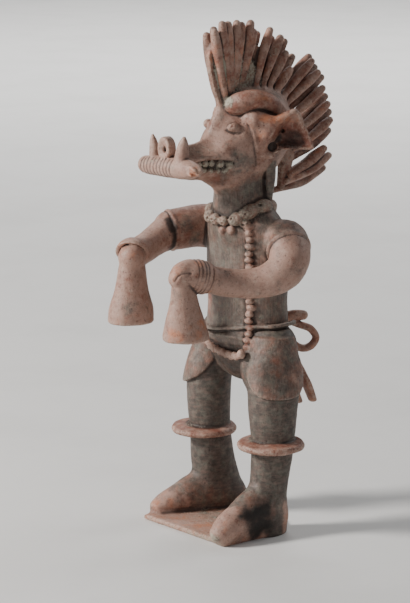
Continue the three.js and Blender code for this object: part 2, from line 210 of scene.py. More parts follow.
def smooth_line(rows: Sequence[Row], step: float) -> Grid:
    """A smooth line through rows of numbers whose first three are a place.

    Args:
        rows: stations; columns after the third, such as radii, are smoothed the same way.
        step: longest distance between two samples.

    Returns:
        The samples, one per row.
    """
    s = np.array(rows, float)
    padded = np.vstack([2 * s[0] - s[1], s, 2 * s[-1] - s[-2]])
    out = []
    for p0, p1, p2, p3 in zip(padded, padded[1:], padded[2:], padded[3:]):
        count = max(1, math.ceil(np.linalg.norm(p2[:3] - p1[:3]) / step))
        t = (np.arange(count) / count)[:, None]
        out.append(0.5 * (2 * p1 + (p2 - p0) * t + (2 * p0 - 5 * p1 + 4 * p2 - p3) * t**2
                          + (3 * p1 - p0 - 3 * p2 + p3) * t**3))
    out.append(s[-1:])
    return np.vstack(out)


def turned(a: Grid, b: Grid, degrees: float) -> tuple[Grid, Grid]:
    """Two coordinates in axes turned by an angle."""
    c, s = math.cos(math.radians(degrees)), math.sin(math.radians(degrees))
    return a * c + b * s, b * c - a * s


def oval_distance(parts: Sequence[tuple[Grid, Grid]]) -> Grid:
    """Near distance to an ellipse or ellipsoid from (coordinate, half size) pairs."""
    k0 = np.sqrt(sum((p / r) ** 2 for p, r in parts))
    k1 = np.sqrt(sum((p / (r * r)) ** 2 for p, r in parts))
    return k0 * (k0 - 1.0) / np.maximum(k1, 1e-5)


def outline_distance(outline: Sequence[Row], s: Grid, t: Grid) -> Grid:
    """Signed distance to a closed outline in its own plane, negative inside.

    Args:
        outline: corners (s, t) of the outline.
        s, t: places in its plane.

    Returns:
        The signed distances.
    """
    s, t = np.broadcast_arrays(s, t)
    best = np.full(s.shape, 1e9, np.float32)
    inside = np.zeros(s.shape, bool)
    pts = list(outline)
    for (x0, y0), (x1, y1) in zip(pts, pts[1:] + pts[:1]):
        ex, ey = x1 - x0, y1 - y0
        k = np.clip(((s - x0) * ex + (t - y0) * ey) / (ex * ex + ey * ey), 0, 1)
        best = np.minimum(best, (s - x0 - k * ex) ** 2 + (t - y0 - k * ey) ** 2)
        if ey != 0:
            inside ^= ((t >= min(y0, y1)) & (t < max(y0, y1))) & (s < x0 + (t - y0) * ex / ey)
    return np.where(inside, -1.0, 1.0) * np.sqrt(best)


def slab_distance(flat: Grid, deep: Grid, rounding: float) -> Grid:
    """Distance to a slab with rounded edges from its outline distance and its depth distance."""
    a, b = flat + rounding, deep + rounding
    return np.minimum(np.maximum(a, b), 0) + np.hypot(np.maximum(a, 0), np.maximum(b, 0)) - rounding


def circle(centre: Row, along: Row, radius: float, start: float = 0.0, stop: float = 360.0) -> list[Row]:
    """Places on a circle round an axis.

    Args:
        centre: the circle's middle.
        along: direction of the axis.
        radius: the circle's radius.
        start: where it begins, in degrees from its highest place.
        stop: where it ends.

    Returns:
        The places, the first one again at the end of a whole turn.
    """
    axis = np.array(along, float) / np.linalg.norm(along)
    up = np.array((0.0, 0.0, 1.0)) - axis * axis[2]
    up /= np.linalg.norm(up)
    side = np.cross(axis, up)
    count = max(4, int(abs(stop - start) / 15))
    turns = np.radians(np.linspace(start, stop, count + 1))
    return [tuple(np.array(centre) + radius * (math.cos(t) * up + math.sin(t) * side)) for t in turns]


class Shape:
    """Something that gives distances and knows the box it lies in."""

    def box(self) -> tuple[Grid, Grid]:
        """Lowest and highest corner."""
        raise NotImplementedError

    def distances(self, x: Grid, y: Grid, z: Grid) -> Grid:
        """Signed distances on an open grid."""
        raise NotImplementedError


@dataclass
class Coil(Shape):
    """A rolled coil of clay: stations (x, y, z, half size along ref, half size across it)."""

    rows: Sequence[Row]
    ref: Row = (0.0, 0.0, 1.0)
    step: float = 2.0
    flat_start: bool = False
    flat_end: bool = False
    rounding: float = 1.2

    def __post_init__(self) -> None:
        """Samples the line and carries a frame along it without twist."""
        rows = [(*r, r[3]) if len(r) == 4 else r for r in self.rows]
        line = smooth_line(rows, self.step)
        self.points, self.radii = line[:, :3], np.maximum(line[:, 3:5], 0.2)
        along = np.gradient(self.points, axis=0)
        self.along = along / np.linalg.norm(along, axis=1)[:, None]
        side, sides = np.array(self.ref, float), []
        for t in self.along:
            side = side - t * (side @ t)
            side /= np.linalg.norm(side)
            sides.append(side)
        self.sides = np.array(sides)
        self.across = np.cross(self.along, self.sides)

    def box(self) -> tuple[Grid, Grid]:
        """Lowest and highest corner."""
        r = self.radii.max(axis=1)[:, None]
        return (self.points - r).min(0), (self.points + r).max(0)

    def _piece(self, i: int, x: Grid, y: Grid, z: Grid) -> Grid:
        """Distances to the stretch between samples i and i + 1.

        Args:
            i: number of the stretch.
            x, y, z: places, as an open grid.

        Returns:
            The signed distances.
        """
        a, b = self.points[i], self.points[i + 1]
        d = b - a
        length = float(np.linalg.norm(d))
        t = d / length
        px, py, pz = x - a[0], y - a[1], z - a[2]
        w = px * t[0] + py * t[1] + pz * t[2]
        k = np.clip(w / length, 0, 1)
        over = w - k * length
        qx, qy, qz = px - k * d[0], py - k * d[1], pz - k * d[2]
        s0, s1 = self.sides[i], self.sides[i + 1] - self.sides[i]
        c0, c1 = self.across[i], self.across[i + 1] - self.across[i]
        u = qx * (s0[0] + k * s1[0]) + qy * (s0[1] + k * s1[1]) + qz * (s0[2] + k * s1[2])
        v = qx * (c0[0] + k * c1[0]) + qy * (c0[1] + k * c1[1]) + qz * (c0[2] + k * c1[2])
        r0, r1 = self.radii[i], self.radii[i + 1] - self.radii[i]
        ra, rb = r0[0] + k * r1[0], r0[1] + k * r1[1]
        start = self.flat_start and i == 0
        end = self.flat_end and i == len(self.points) - 2
        if start or end:
            beyond = np.where(over > 0, over if end else 0, -over if start else 0)
            ring = oval_distance([(u, ra), (v, rb)])
            inner = np.minimum(np.abs(w if start else 1e6), np.abs(length - w if end else 1e6))
            flat = slab_distance(ring, np.where(beyond > 0, beyond, -inner), self.rounding)
            passed = ((over < 0) & (not start)) | ((over > 0) & (not end))
            return np.where(passed, oval_distance([(u, ra), (v, rb), (over, np.minimum(ra, rb))]), flat)
        return oval_distance([(u, ra), (v, rb), (over, np.minimum(ra, rb))])

    def distances(self, x: Grid, y: Grid, z: Grid) -> Grid:
        """Signed distances on an open grid, worked out only near each stretch.

        Args:
            x, y, z: the grid's open coordinates.

        Returns:
            The signed distances.
        """
        out = np.full((x.size, y.size, z.size), FAR, np.float32)
        flat = [a.ravel() for a in (x, y, z)]
        for i in range(len(self.points) - 1):
            r = self.radii[i:i + 2].max()
            t = self.along[i]
            ends = i == 0 or i == len(self.points) - 2
            spread = r * (np.ones(3) if ends else np.sqrt(1 - t * t)) + COIL_REACH
            low = np.minimum(self.points[i], self.points[i + 1]) - spread
            high = np.maximum(self.points[i], self.points[i + 1]) + spread
            cut = tuple(slice(*np.searchsorted(f, (a, b))) for f, a, b in zip(flat, low, high))
            if any(c.start >= c.stop for c in cut):
                continue
            d = self._piece(i, x[cut[0]], y[:, cut[1]], z[:, :, cut[2]])
            out[cut] = np.minimum(out[cut], d)
        return out


@dataclass
class Pellet(Shape):
    """A pellet of clay: centre, half sizes, and turns in degrees about Z and then about its own X."""

    centre: Row
    half: Row
    spin: float = 0.0
    tip: float = 0.0

    def box(self) -> tuple[Grid, Grid]:
        """Lowest and highest corner."""
        c, r = np.array(self.centre), max(self.half)
        return c - r, c + r

    def _tipped(self, u: Grid, v: Grid, w: Grid) -> tuple[Grid, Grid, Grid]:
        """The pellet's own coordinates, once it is spun."""
        return (u, *turned(v, w, self.tip))

    def distances(self, x: Grid, y: Grid, z: Grid) -> Grid:
        """Signed distances on an open grid."""
        u, v = turned(x - self.centre[0], y - self.centre[1], self.spin)
        return oval_distance(list(zip(self._tipped(u, v, z - self.centre[2]), self.half)))


@dataclass
class Tilted(Pellet):
    """A pellet that slopes: turned by spin about Z, its long side rising by tip degrees."""

    def _tipped(self, u: Grid, v: Grid, w: Grid) -> tuple[Grid, Grid, Grid]:
        """The pellet's own coordinates, once it is spun."""
        u, w = turned(u, w, self.tip)
        return u, v, w


@dataclass
class Sheet(Shape):
    """A slab of clay with a flat outline, square to one axis ("x" or "z")."""

    outline: Sequence[Row]
    axis: str
    middle: float
    half: float
    rounding: float = 1.5

    def box(self) -> tuple[Grid, Grid]:
        """Lowest and highest corner.

        Returns:
            The two corners.
        """
        low, high = np.min(self.outline, axis=0), np.max(self.outline, axis=0)
        a, b = self.middle - self.half, self.middle + self.half
        if self.axis == "x":
            return np.array([a, *low]), np.array([b, *high])
        return np.array([*low, a]), np.array([*high, b])

    def distances(self, x: Grid, y: Grid, z: Grid) -> Grid:
        """Signed distances on an open grid.

        Args:
            x, y, z: the grid's open coordinates.

        Returns:
            The signed distances.
        """
        if self.axis == "x":
            flat = outline_distance(self.outline, y, z)
            return slab_distance(flat, np.abs(x - self.middle) - self.half, self.rounding)
        flat = outline_distance(self.outline, x, y)
        return slab_distance(flat, np.abs(z - self.middle) - self.half, self.rounding)


@dataclass
class Turned(Shape):
    """A turned form about an upright or fore-and-aft axis: outline rows (radius, height)."""

    outline: Sequence[Row]
    centre: Row
    axis: str = "z"
    stretch: float = 1.0
    lean: float = 0.0
    rounding: float = 1.0

    def box(self) -> tuple[Grid, Grid]:
        """Lowest and highest corner.

        Returns:
            The two corners.
        """
        r = max(row[0] for row in self.outline) * max(self.stretch, 1.0) + abs(self.lean)
        low, high = min(row[1] for row in self.outline), max(row[1] for row in self.outline)
        c = np.array(self.centre)
        if self.axis == "z":
            return c + [-r, -r, low], c + [r, r, high]
        return c + [-r, low, -r], c + [r, high, r]

    def distances(self, x: Grid, y: Grid, z: Grid) -> Grid:
        """Signed distances on an open grid.

        Args:
            x, y, z: the grid's open coordinates.

        Returns:
            The signed distances.
        """
        px, py, pz = x - self.centre[0], y - self.centre[1], z - self.centre[2]
        if self.axis == "y":
            py, pz = pz, py
        top = max(row[1] for row in self.outline)
        py = py - self.lean * (1 - pz / top)
        radius = np.hypot(px, py / self.stretch)
        half = [(max(r, 0), h) for r, h in self.outline]
        loop = half + [(-r, h) for r, h in reversed(half) if r > 0]
        return outline_distance(loop, radius, pz + 0 * radius) - self.rounding


class ClayField:
    """The clay so far, as signed distances on a grid in millimetres."""

    def __init__(self, low: Row, high: Row, pitch: float) -> None:
        """Starts with no clay at all.

        Args:
            low: lowest corner of the grid.
            high: highest corner of the grid.
            pitch: distance between grid points.
        """
        self.low, self.pitch = np.array(low), pitch
        counts = [int(math.ceil((h - a) / pitch)) + 1 for a, h in zip(low, high)]
        self.values = np.full(counts, FAR, np.float32)
        self.owner = np.zeros(counts, np.uint8)
        self.scored = np.zeros(counts, np.float16)
        self.tint = Tint.SLIP

    def window(self, low: Grid, high: Grid) -> tuple[tuple[slice, ...], list[Grid]]:
        """The part of the grid inside a box, as slices and as open coordinates.

        Args:
            low, high: corners of the box.

        Returns:
            The slices, and the coordinates along x, y and z.
        """
        shape = np.array(self.values.shape)
        a = np.clip(np.floor((low - self.low) / self.pitch).astype(int), 0, shape - 1)
        b = np.clip(np.ceil((high - self.low) / self.pitch).astype(int) + 1, 1, shape)
        axes = [(self.low[k] + self.pitch * np.arange(a[k], b[k])).astype(np.float32) for k in range(3)]
        opened = [axes[0][:, None, None], axes[1][None, :, None], axes[2][None, None, :]]
        return tuple(slice(i, j) for i, j in zip(a, b)), opened

    def add(self, *shapes: Shape, soft: float = 0.0, tint: Tint | None = None) -> None:
        """Presses shapes on to the clay with a fillet, in a tint that stays in use until the next.

        Args:
            shapes: the shapes, in order.
            soft: reach of the fillet.
            tint: the new tint, if it changes.
        """
        self.tint = tint or self.tint
        number = list(Tint).index(self.tint)
        for shape in shapes:
            low, high = shape.box()
            margin = soft + 3 * self.pitch
            cut, axes = self.window(low - margin, high + margin)
            distances = shape.distances(*axes)
            self.owner[cut] = np.where(distances < self.values[cut] + TINT_REACH, number, self.owner[cut])
            self.values[cut] = blend_in(self.values[cut], distances, soft)

    def cut(self, *shapes: Shape, soft: float = 0.0) -> None:
        """Cuts shapes out of the clay with a softened edge.

        Args:
            shapes: the shapes, in order.
            soft: reach of the softened edge.
        """
        for shape in shapes:
            low, high = shape.box()
            margin = soft + 2 * self.pitch
            cut, axes = self.window(low - margin, high + margin)
            self.values[cut] = -blend_in(-self.values[cut], shape.distances(*axes), soft)

    def incise(self, rows: Sequence[Row], depth: float, width: float) -> None:
        """Draws a groove along the surface with a pointed stick.

        Args:
            rows: points (x, y, z) on or near the surface.
            depth: how deep the groove is.
            width: half its width at the surface.
        """
        bank = 0.6
        line = Coil([(*r[:3], width + bank) for r in rows], step=1.2)
        low, high = line.box()
        cut, axes = self.window(low - 2, high + 2)
        share = 1 - smooth_step(line.distances(*axes) + bank, -width, bank)
        self.values[cut] += depth * share
        self.scored[cut] = np.maximum(self.scored[cut], share)

    def level(self, height: float) -> None:
        """Cuts everything off below a height."""
        _, (_, _, z) = self.window(self.low, self.low + 1e6)
        np.maximum(self.values, height - z, out=self.values)

    def fullness(self, points: Grid, reach: int) -> Grid:
        """Share of clay round each point: half on a flat face, more in a hollow, less on a ridge.

        Args:
            points: places in the grid's own units.
            reach: half width of the neighbourhood, in pairs of grid steps.

        Returns:
            One share per point.
        """
        even = [slice(0, n - n % 2) for n in self.values.shape]
        filled = np.clip(0.5 - self.values[tuple(even)] / self.pitch, 0, 1)
        for axis in range(3):
            filled = np.add.reduceat(filled, np.arange(0, filled.shape[axis], 2), axis=axis) / 2
        for _ in range(2):
            for axis in range(3):
                filled = running_mean(filled, reach, axis)
        return sample(filled, (points - self.low) / (2 * self.pitch) - 0.25)

    def scored_at(self, points: Grid) -> Grid:
        """How strongly each point lies in a drawn groove."""
        return sample(self.scored, (points - self.low) / self.pitch)

    def tints_at(self, points: Grid) -> Grid:
        """Number of the tint of the clay nearest to each point."""
        cell = np.rint((points - self.low) / self.pitch).astype(int)
        cell = np.clip(cell, 0, np.array(self.owner.shape) - 1)
        return self.owner[cell[:, 0], cell[:, 1], cell[:, 2]]


def running_mean(values: Grid, reach: int, axis: int) -> Grid:
    """Mean over a sliding stretch of 2 * reach + 1 values along one axis.

    Args:
        values: values on a grid.
        reach: half width of the stretch.
        axis: number of the axis.

    Returns:
        The means, on the same grid.
    """
    pad = [(reach + 1, reach) if k == axis else (0, 0) for k in range(3)]
    total = np.cumsum(np.pad(values, pad, mode="edge"), axis=axis, dtype=np.float32)
    n = 2 * reach + 1
    late = [slice(n, None) if k == axis else slice(None) for k in range(3)]
    early = [slice(0, -n) if k == axis else slice(None) for k in range(3)]
    return (total[tuple(late)] - total[tuple(early)]) / n


def sample(values: Grid, places: Grid) -> Grid:
    """Values between grid points at places given in grid steps.

    Args:
        values: values on a grid.
        places: one row of grid steps per place.

    Returns:
        One value per place.
    """
    base = np.clip(np.floor(places).astype(int), 0, np.array(values.shape) - 2)
    part = np.clip(places - base, 0, 1)
    out = np.zeros(len(places))
    for corner in range(8):
        step = np.array([(corner >> q) & 1 for q in range(3)])
        i, j, k = (base + step).T
        out += np.prod(np.where(step == 1, part, 1 - part), axis=1) * values[i, j, k]
    return out


def surface_net(values: Grid, low: Grid, pitch: float) -> tuple[Grid, Grid]:
    """Closed skin of quads round the places where the distances are negative.

    Args:
        values: distances on the grid.
        low: the grid's lowest corner.
        pitch: distance between grid points.

    Returns:
        Points and quads, each quad facing outwards.
    """
    inside = values < 0
    n = [c - 1 for c in inside.shape]
    total = np.zeros(n, np.uint8)
    corners = [(i, j, k) for i in (0, 1) for j in (0, 1) for k in (0, 1)]
    for i, j, k in corners:
        total += inside[i:i + n[0], j:j + n[1], k:k + n[2]]
    active = (total > 0) & (total < 8)
    cells = np.argwhere(active)
    index = np.full(n, -1, np.int32)
    index[active] = np.arange(len(cells), dtype=np.int32)
    at = {c: values[cells[:, 0] + c[0], cells[:, 1] + c[1], cells[:, 2] + c[2]] for c in corners}
    place = np.zeros((len(cells), 3))
    count = np.zeros(len(cells))
    for a in corners:
        for axis in range(3):
            if a[axis]:
                continue
            b = tuple(1 if q == axis else a[q] for q in range(3))
            crossed = (at[a] < 0) != (at[b] < 0)
            t = at[a] / np.where(crossed, at[a] - at[b], 1.0)
            for q in range(3):
                place[:, q] += crossed * (t if q == axis else a[q])
            count += crossed
    return low + pitch * (cells + place / count[:, None]), net_quads(inside, index)


def net_quads(inside: Grid, index: Grid) -> Grid:
    """Quads round every grid step that passes through the skin.

    Args:
        inside: where the clay is, at the grid points.
        index: number of the skin's point in each grid cell.

    Returns:
        Four point numbers per quad, facing outwards.
    """
    quads = []
    for k in range(3):
        i, j = (k + 1) % 3, (k + 2) % 3
        start = tuple(slice(0, -1) if q == k else slice(1, -1) for q in range(3))
        stop = tuple(slice(1, None) if q == k else slice(1, -1) for q in range(3))
        p = np.argwhere(inside[start] != inside[stop])
        p[:, i] += 1
        p[:, j] += 1
        outward = inside[p[:, 0], p[:, 1], p[:, 2]]
        ring = []
        for di, dj in ((0, 0), (1, 0), (1, 1), (0, 1)):
            c = p.copy()
            c[:, i] -= di
            c[:, j] -= dj
            ring.append(index[c[:, 0], c[:, 1], c[:, 2]])
        quad = np.stack(ring, axis=1)
        quads.append(np.where(outward[:, None], quad, quad[:, ::-1]))
    return np.vstack(quads)


def lattice_noise(points: Grid, size: float, seed: int) -> Grid:
    """Smooth noise from -1 to 1 with lumps of the given size, the same on every run.

    Args:
        points: places.
        size: size of the lumps.
        seed: number that picks the pattern.

    Returns:
        One value per place.
    """
    cells = 32
    table = np.random.default_rng(seed).uniform(-1, 1, (cells, cells, cells))
    scaled = points / size
    base = np.floor(scaled).astype(int)
    part = scaled - base
    part = part * part * (3 - 2 * part)
    out = np.zeros(len(points))
    for corner in range(8):
        step = np.array([(corner >> q) & 1 for q in range(3)])
        weight = np.prod(np.where(step == 1, part, 1 - part), axis=1)
        i, j, k = ((base + step) % cells).T
        out += weight * table[i, j, k]
    return out


# The figure's pieces, from the plate up


@dataclass
class BasePlate:
    """Thin irregular plate that the feet stand on."""

    outline: Sequence[Row] = ((-54, -49), (49, -47), (53, 12), (49, 20), (28, 36), (-22, 53), (-46, 52))
    middle: float = 3.75
    half: float = 2.25

    def model(self, clay: ClayField) -> None:
        """Lays the plate."""
        clay.add(Sheet(self.outline, "z", self.middle, self.half, 1.6), tint=Tint.PLATE)


@dataclass
class Leg:
    """One leg with its foot and the flat collar of clay below the knee."""

    leg: Sequence[Row]
    foot: Sequence[Row]
    ring: Row
    ring_radius: float = 28.0
    ring_half: float = 3.4
    ring_edge: float = 1.6

    def model(self, clay: ClayField) -> None:
        """Stands the leg on the plate, draws the foot out and presses the ring round it.

        Args:
            clay: the clay so far.
        """
        clay.add(Coil(self.leg, (1, 0, 0), 3.0), soft=3.0, tint=Tint.LEG)
        clay.add(Coil(self.foot, (0, 0, 1), 2.0), soft=7.0, tint=Tint.FOOT)
        r, h = self.ring_radius - self.ring_edge, self.ring_half - self.ring_edge
        outline = [(0, -h), (r * 0.8, -h), (r - 0.6, -h * 0.7), (r, 0), (r - 0.8, h * 0.7),
                   (r * 0.72, h + 0.6), (0, h + 1)]
        clay.add(Turned(outline, self.ring, rounding=self.ring_edge), soft=2.2, tint=Tint.KNEE_RING)


LEFT_LEG = Leg(
    leg=[(41, 7, 4, 15, 17), (41, 7.5, 24, 14.5, 16), (41, 8.5, 42, 15.4, 16.4), (42, 11.5, 75, 17.2, 18),
         (42, 12, 110, 20.6, 20.6), (39.6, 14.5, 135, 23.2, 22), (32, 18, 158, 23.4, 20.4)],
    foot=[(41, 14, 16, 11, 12), (41, 2, 23, 20, 15), (41, -10, 22, 19, 15), (42, -24, 18, 15, 13.5),
          (43, -38, 15, 11.8, 11.5), (44, -47, 12, 8, 9)],
    ring=(43, 9, 77.5),
)
RIGHT_LEG = Leg(
    leg=[(-36, 30, 4, 14, 20), (-37, 23, 20, 15, 20), (-38, 15.5, 42, 16.5, 20), (-39, 12, 75, 17.2, 17.8),
         (-40, 11.5, 110, 18.4, 19), (-38, 13.5, 135, 18, 19), (-32, 19, 160, 17, 18)],
    foot=[(-35, 34, 14, 10, 12), (-38, 16, 20, 17, 15), (-41, 0, 20, 17, 14.5), (-45, -14, 16.5, 13, 13),
          (-49, -26, 13.5, 10, 11.5), (-51, -36, 11, 6, 8)],
    ring=(-42, 8, 75),
)


@dataclass
class Torso:
    """Tunic-clad body: half width and half depth at each height, and the thick neck above it."""

    middle_y: float = 20.0
    shoulders: float = 245.0
    stoop: float = 0.25
    hem: float = 165.0
    rim: Row = (42.6, 26.6)
    under: Sequence[Row] = ((145, 35, 21.5), (149, 38, 23), (154, 40, 24.4), (163, 41.4, 25.4), (170, 40, 24))
    tunic: Sequence[Row] = (
        (163, 43.2, 27.2), (171, 42.2, 26.7), (190, 40.8, 26.4), (215, 41.6, 26.8), (235, 43, 26.2),
        (250, 43, 24), (262, 34, 21), (272, 24, 20))
    neck: Sequence[Row] = (
        (0, 14, 255, 25, 24), (0, 13, 272, 23.4, 23), (0, 12.5, 286, 22.6, 22.6), (0, 11.5, 296, 22, 25))

    def _middle(self, z: float) -> float:
        """Y of the body's axis, which leans forward from the shoulders up."""
        return self.middle_y - max(0, z - self.shoulders) * self.stoop

    def _rows(self, levels: Sequence[Row]) -> list[Row]:
        """Stations of an upright body from its sizes at each height."""
        return [(0, self._middle(z), z, a, b) for z, a, b in levels]

    def front(self, x: float, z: float) -> float:
        """Y of the tunic's front at a place across and up."""
        heights = [row[0] for row in self.tunic]
        a = np.interp(z, heights, [row[1] for row in self.tunic])
        b = np.interp(z, heights, [row[2] for row in self.tunic])
        return self._middle(z) - b * math.sqrt(max(0, 1 - (x / a) ** 2))

    def model(self, clay: ClayField) -> None:
        """Builds the body, drops the tunic with its wavy rim over it, and raises the neck.

        Args:
            clay: the clay so far.
        """
        clay.add(Coil(self._rows(self.under), (1, 0, 0), 3.0), soft=5.0, tint=Tint.UNDER)
        clay.add(Coil(self._rows(self.tunic), (1, 0, 0), 3.0, flat_start=True), soft=0.8, tint=Tint.TUNIC)
        rim = []
        for turn in np.radians(np.arange(0, 375, 15)):
            x, y = self.rim[0] * math.sin(turn), self.middle_y - self.rim[1] * math.cos(turn)
            wave = 0.7 * math.sin(5 * turn) + 0.5 * math.sin(8 * turn + 1)
            rim.append((x, y, self.hem + wave, 1.7, 2.1))
        clay.add(Coil(rim), soft=1.2)
        clay.add(Coil(self.neck, (1, 0, 0), 3.0), soft=6.0, tint=Tint.NECK)


@dataclass
class Apron(Shape):
    """Flap over the front and the outer side of a thigh, standing off more at its lower edge.

    The outline is given in degrees round the thigh from straight ahead, and in heights.
    """

    thigh: Coil
    middle: Row
    outline: Sequence[Row]
    lift: float = 3.6
    degree: float = 0.42
    reach: float = 32.0
    edge: float = 1.3

    def box(self) -> tuple[Grid, Grid]:
        """Lowest and highest corner."""
        low, high = np.min(self.outline, axis=0)[1], np.max(self.outline, axis=0)[1]
        (x, y), r = self.middle, self.reach
        return np.array([x - r, y - r, low]), np.array([x + r, y + r, high])

    def distances(self, x: Grid, y: Grid, z: Grid) -> Grid:
        """Signed distances on an open grid.

        Args:
            x, y, z: the grid's open coordinates.

        Returns:
            The signed distances.
        """
        around = np.degrees(np.arctan2(x - self.middle[0], self.middle[1] - y)) * self.degree
        flat = outline_distance([(a * self.degree, h) for a, h in self.outline], around, z)
        low = min(row[1] for row in self.outline)
        lift = self.lift * (1.0 - 0.6 * smooth_step(z, low + 4, low + 36))
        return slab_distance(flat, self.thigh.distances(x, y, z) - lift, self.edge)


@dataclass
class Hips:
    """The seat, the flap over each thigh, the tunic's edge over them, and the pinched rope between them."""

    seat: Pellet = field(default_factory=lambda: Pellet((-2, 23, 156), (36, 24, 16)))
    inner: Pellet = field(default_factory=lambda: Pellet((28, 3.5, 142), (12, 12, 19)))
    left_middle: Row = (40, 15)
    left: Sequence[Row] = (
        (-30, 169), (-30, 152), (-26, 144), (-16, 136.5), (-4, 130), (7, 125.5), (21, 122), (37, 120.5),
        (59, 120), (79, 120), (100, 121.5), (115, 127), (128, 141), (130, 169))
    right_middle: Row = (-36, 14)
    right: Sequence[Row] = (
        (-130, 166), (-128, 140), (-110, 124), (-80, 117), (-50, 115), (-22, 117.5), (6, 123), (25, 128.5),
        (39, 134), (48, 138.5), (53, 147), (55, 166))
    rope: Sequence[Row] = (
        (-32, 2, 158, 2.6), (-20, -3.5, 153, 2.7), (-4, -6, 151, 2.8), (12, -7, 150, 2.8), (24, -9, 152, 2.8))
    rope_end: Pellet = field(default_factory=lambda: Pellet((28, -11, 154.5), (3.6, 3.4, 4.0)))
    edge: Sequence[Row] = (
        (-36, 5, 165), (-25, -2, 165), (-12.6, -5.9, 166.3), (-1, -6.9, 168.5), (8, -6.2, 170),
        (16.6, -4.6, 171.2), (23.5, -1.9, 172.6), (30.3, 1, 173.6), (35.6, 5, 174), (42, 8.6, 174.5),
        (45.5, 14, 175), (46.4, 20, 175.3), (45, 30, 175), (38, 38, 174))
    edge_lift: float = 2.6

    def model(self, clay: ClayField) -> None:
        """Presses the flaps on, the tunic's edge over them, then the rope with its pinches and its end.

        Args:
            clay: the clay so far.
        """
        clay.add(self.seat, soft=8.0, tint=Tint.UNDER)
        clay.add(self.inner, soft=5.0, tint=Tint.UNDER)
        for leg, middle, outline in ((LEFT_LEG, self.left_middle, self.left),
                                     (RIGHT_LEG, self.right_middle, self.right)):
            clay.add(Apron(Coil(leg.leg, (1, 0, 0), 3.0), middle, outline), soft=0.8, tint=Tint.HIP)
        edge = [(x, y, z + self.edge_lift, 1.7, 2.2) for x, y, z in self.edge]
        clay.add(Coil(edge), soft=2.0, tint=Tint.TUNIC)
        clay.incise(self.edge, 2.0, 1.1)
        clay.add(Coil(self.rope), soft=1.0, tint=Tint.ROPE)
        for i, (x, y, z, *_) in enumerate(smooth_line(self.rope, 4.4)):
            clay.add(Pellet((x, y - 0.8, z + (i % 2 - 0.5)), (2.6, 2.6, 3.3), 20), soft=0.8)
        clay.add(self.rope_end, soft=0.8)


@dataclass
class Lacing:
    """Row of pellets down the left of the chest, the slit beside it, and two more pellets on the chest."""

    torso: Torso
    across: float = 27.0
    pitch: float = 5.6
    below_hem: float = 12.0
    top: float = 264.0
    turn_in: float = 250.0
    slit: float = 4.4
    brooches: Sequence[Row] = ((11.0, -7.6, 256.2, 4.2), (2.2, -9.4, 254.6, 3.7))

    def model(self, clay: ClayField) -> None:
        """Presses the pellets on one by one, no two quite alike.

        Args:
            clay: the clay so far.
        """
        chance = np.random.default_rng(11)
        x = self.across - self.slit
        clay.incise([(x, self.torso.front(x, z), z) for z in range(152, 250, 6)], 0.9, 0.8)
        clay.tint = Tint.PELLET
        low = self.torso.hem - self.below_hem
        for i in range(int((self.top - low) / self.pitch) + 1):
            z = low + i * self.pitch
            x = self.across - max(0, z - self.turn_in) * 0.3 + chance.uniform(-0.7, 0.7)
            size = (chance.uniform(3.3, 4.6), 3.1, chance.uniform(2.3, 3.3))
            place = (x, self.torso.front(x, z) - chance.uniform(0.4, 1.2), z + chance.uniform(-0.5, 0.5))
            clay.add(Pellet(place, size, chance.uniform(15, 40), chance.uniform(-20, 20)), soft=0.7)
        for x, y, z, r in self.brooches:
            clay.add(Pellet((x, y, z), (r, 3.2, r)), soft=0.5)
            clay.cut(Pellet((x - 0.6, y - 3.4, z + 0.3), (1.2, 1.2, 1.0)), soft=0.5)


@dataclass
class Collar:
    """Thick rope collar of slanted lumps round the foot of the neck, lower in front."""

    front: Sequence[Row] = (
        (27.0, 13.0, 275.0, 9.2, 6.2, 6.0, 6), (23.6, 1.6, 271.4, 9.4, 6.2, 6.0, 24),
        (16.6, -6.6, 265.4, 7.4, 5.6, 5.4, 30), (22.4, -2.4, 262.0, 4.6, 4.2, 3.4, 10),
        (6.0, -11.4, 262.8, 4.8, 4.6, 4.2, 0), (-2.4, -12.6, 263.4, 5.2, 5.0, 5.0, 0),
        (-12.5, -10.0, 264.0, 6.8, 5.2, 5.4, -12), (-22.5, -1.0, 267.5, 8.0, 5.4, 5.4, -22))
    axis_y: float = 14.0
    back: int = 8
    back_ring: Row = (26, 24.5, 12, 271.5)

    def model(self, clay: ClayField) -> None:
        """Presses the lumps round the neck, pinched and uneven.

        Args:
            clay: the clay so far.
        """
        chance = np.random.default_rng(5)
        clay.tint = Tint.COLLAR
        for x, y, z, a, b, c, slope in self.front:
            along = math.degrees(math.atan2(x, self.axis_y - y))
            clay.add(Tilted((x, y, z), (a, b, c), along, slope), soft=0.9)
            for _ in range(3):
                dent = (x + chance.uniform(-0.5, 0.5) * a, y - b + 1.0, z + chance.uniform(-0.4, 0.5) * c)
                clay.cut(Pellet(dent, (1.1, 1.6, 1.0)), soft=0.8)
        wide, deep, middle, height = self.back_ring
        for i in range(self.back):
            turn = math.radians(100 + i * 23)
            half = (7.4 + chance.uniform(-0.5, 0.9), 5.6, 5.2 + chance.uniform(-0.5, 0.5))
            x, y = wide * math.sin(turn), middle - deep * math.cos(turn)
            z = height + chance.uniform(-0.8, 0.8)
            clay.add(Tilted((x, y, z), half, math.degrees(turn), -18), soft=0.9)


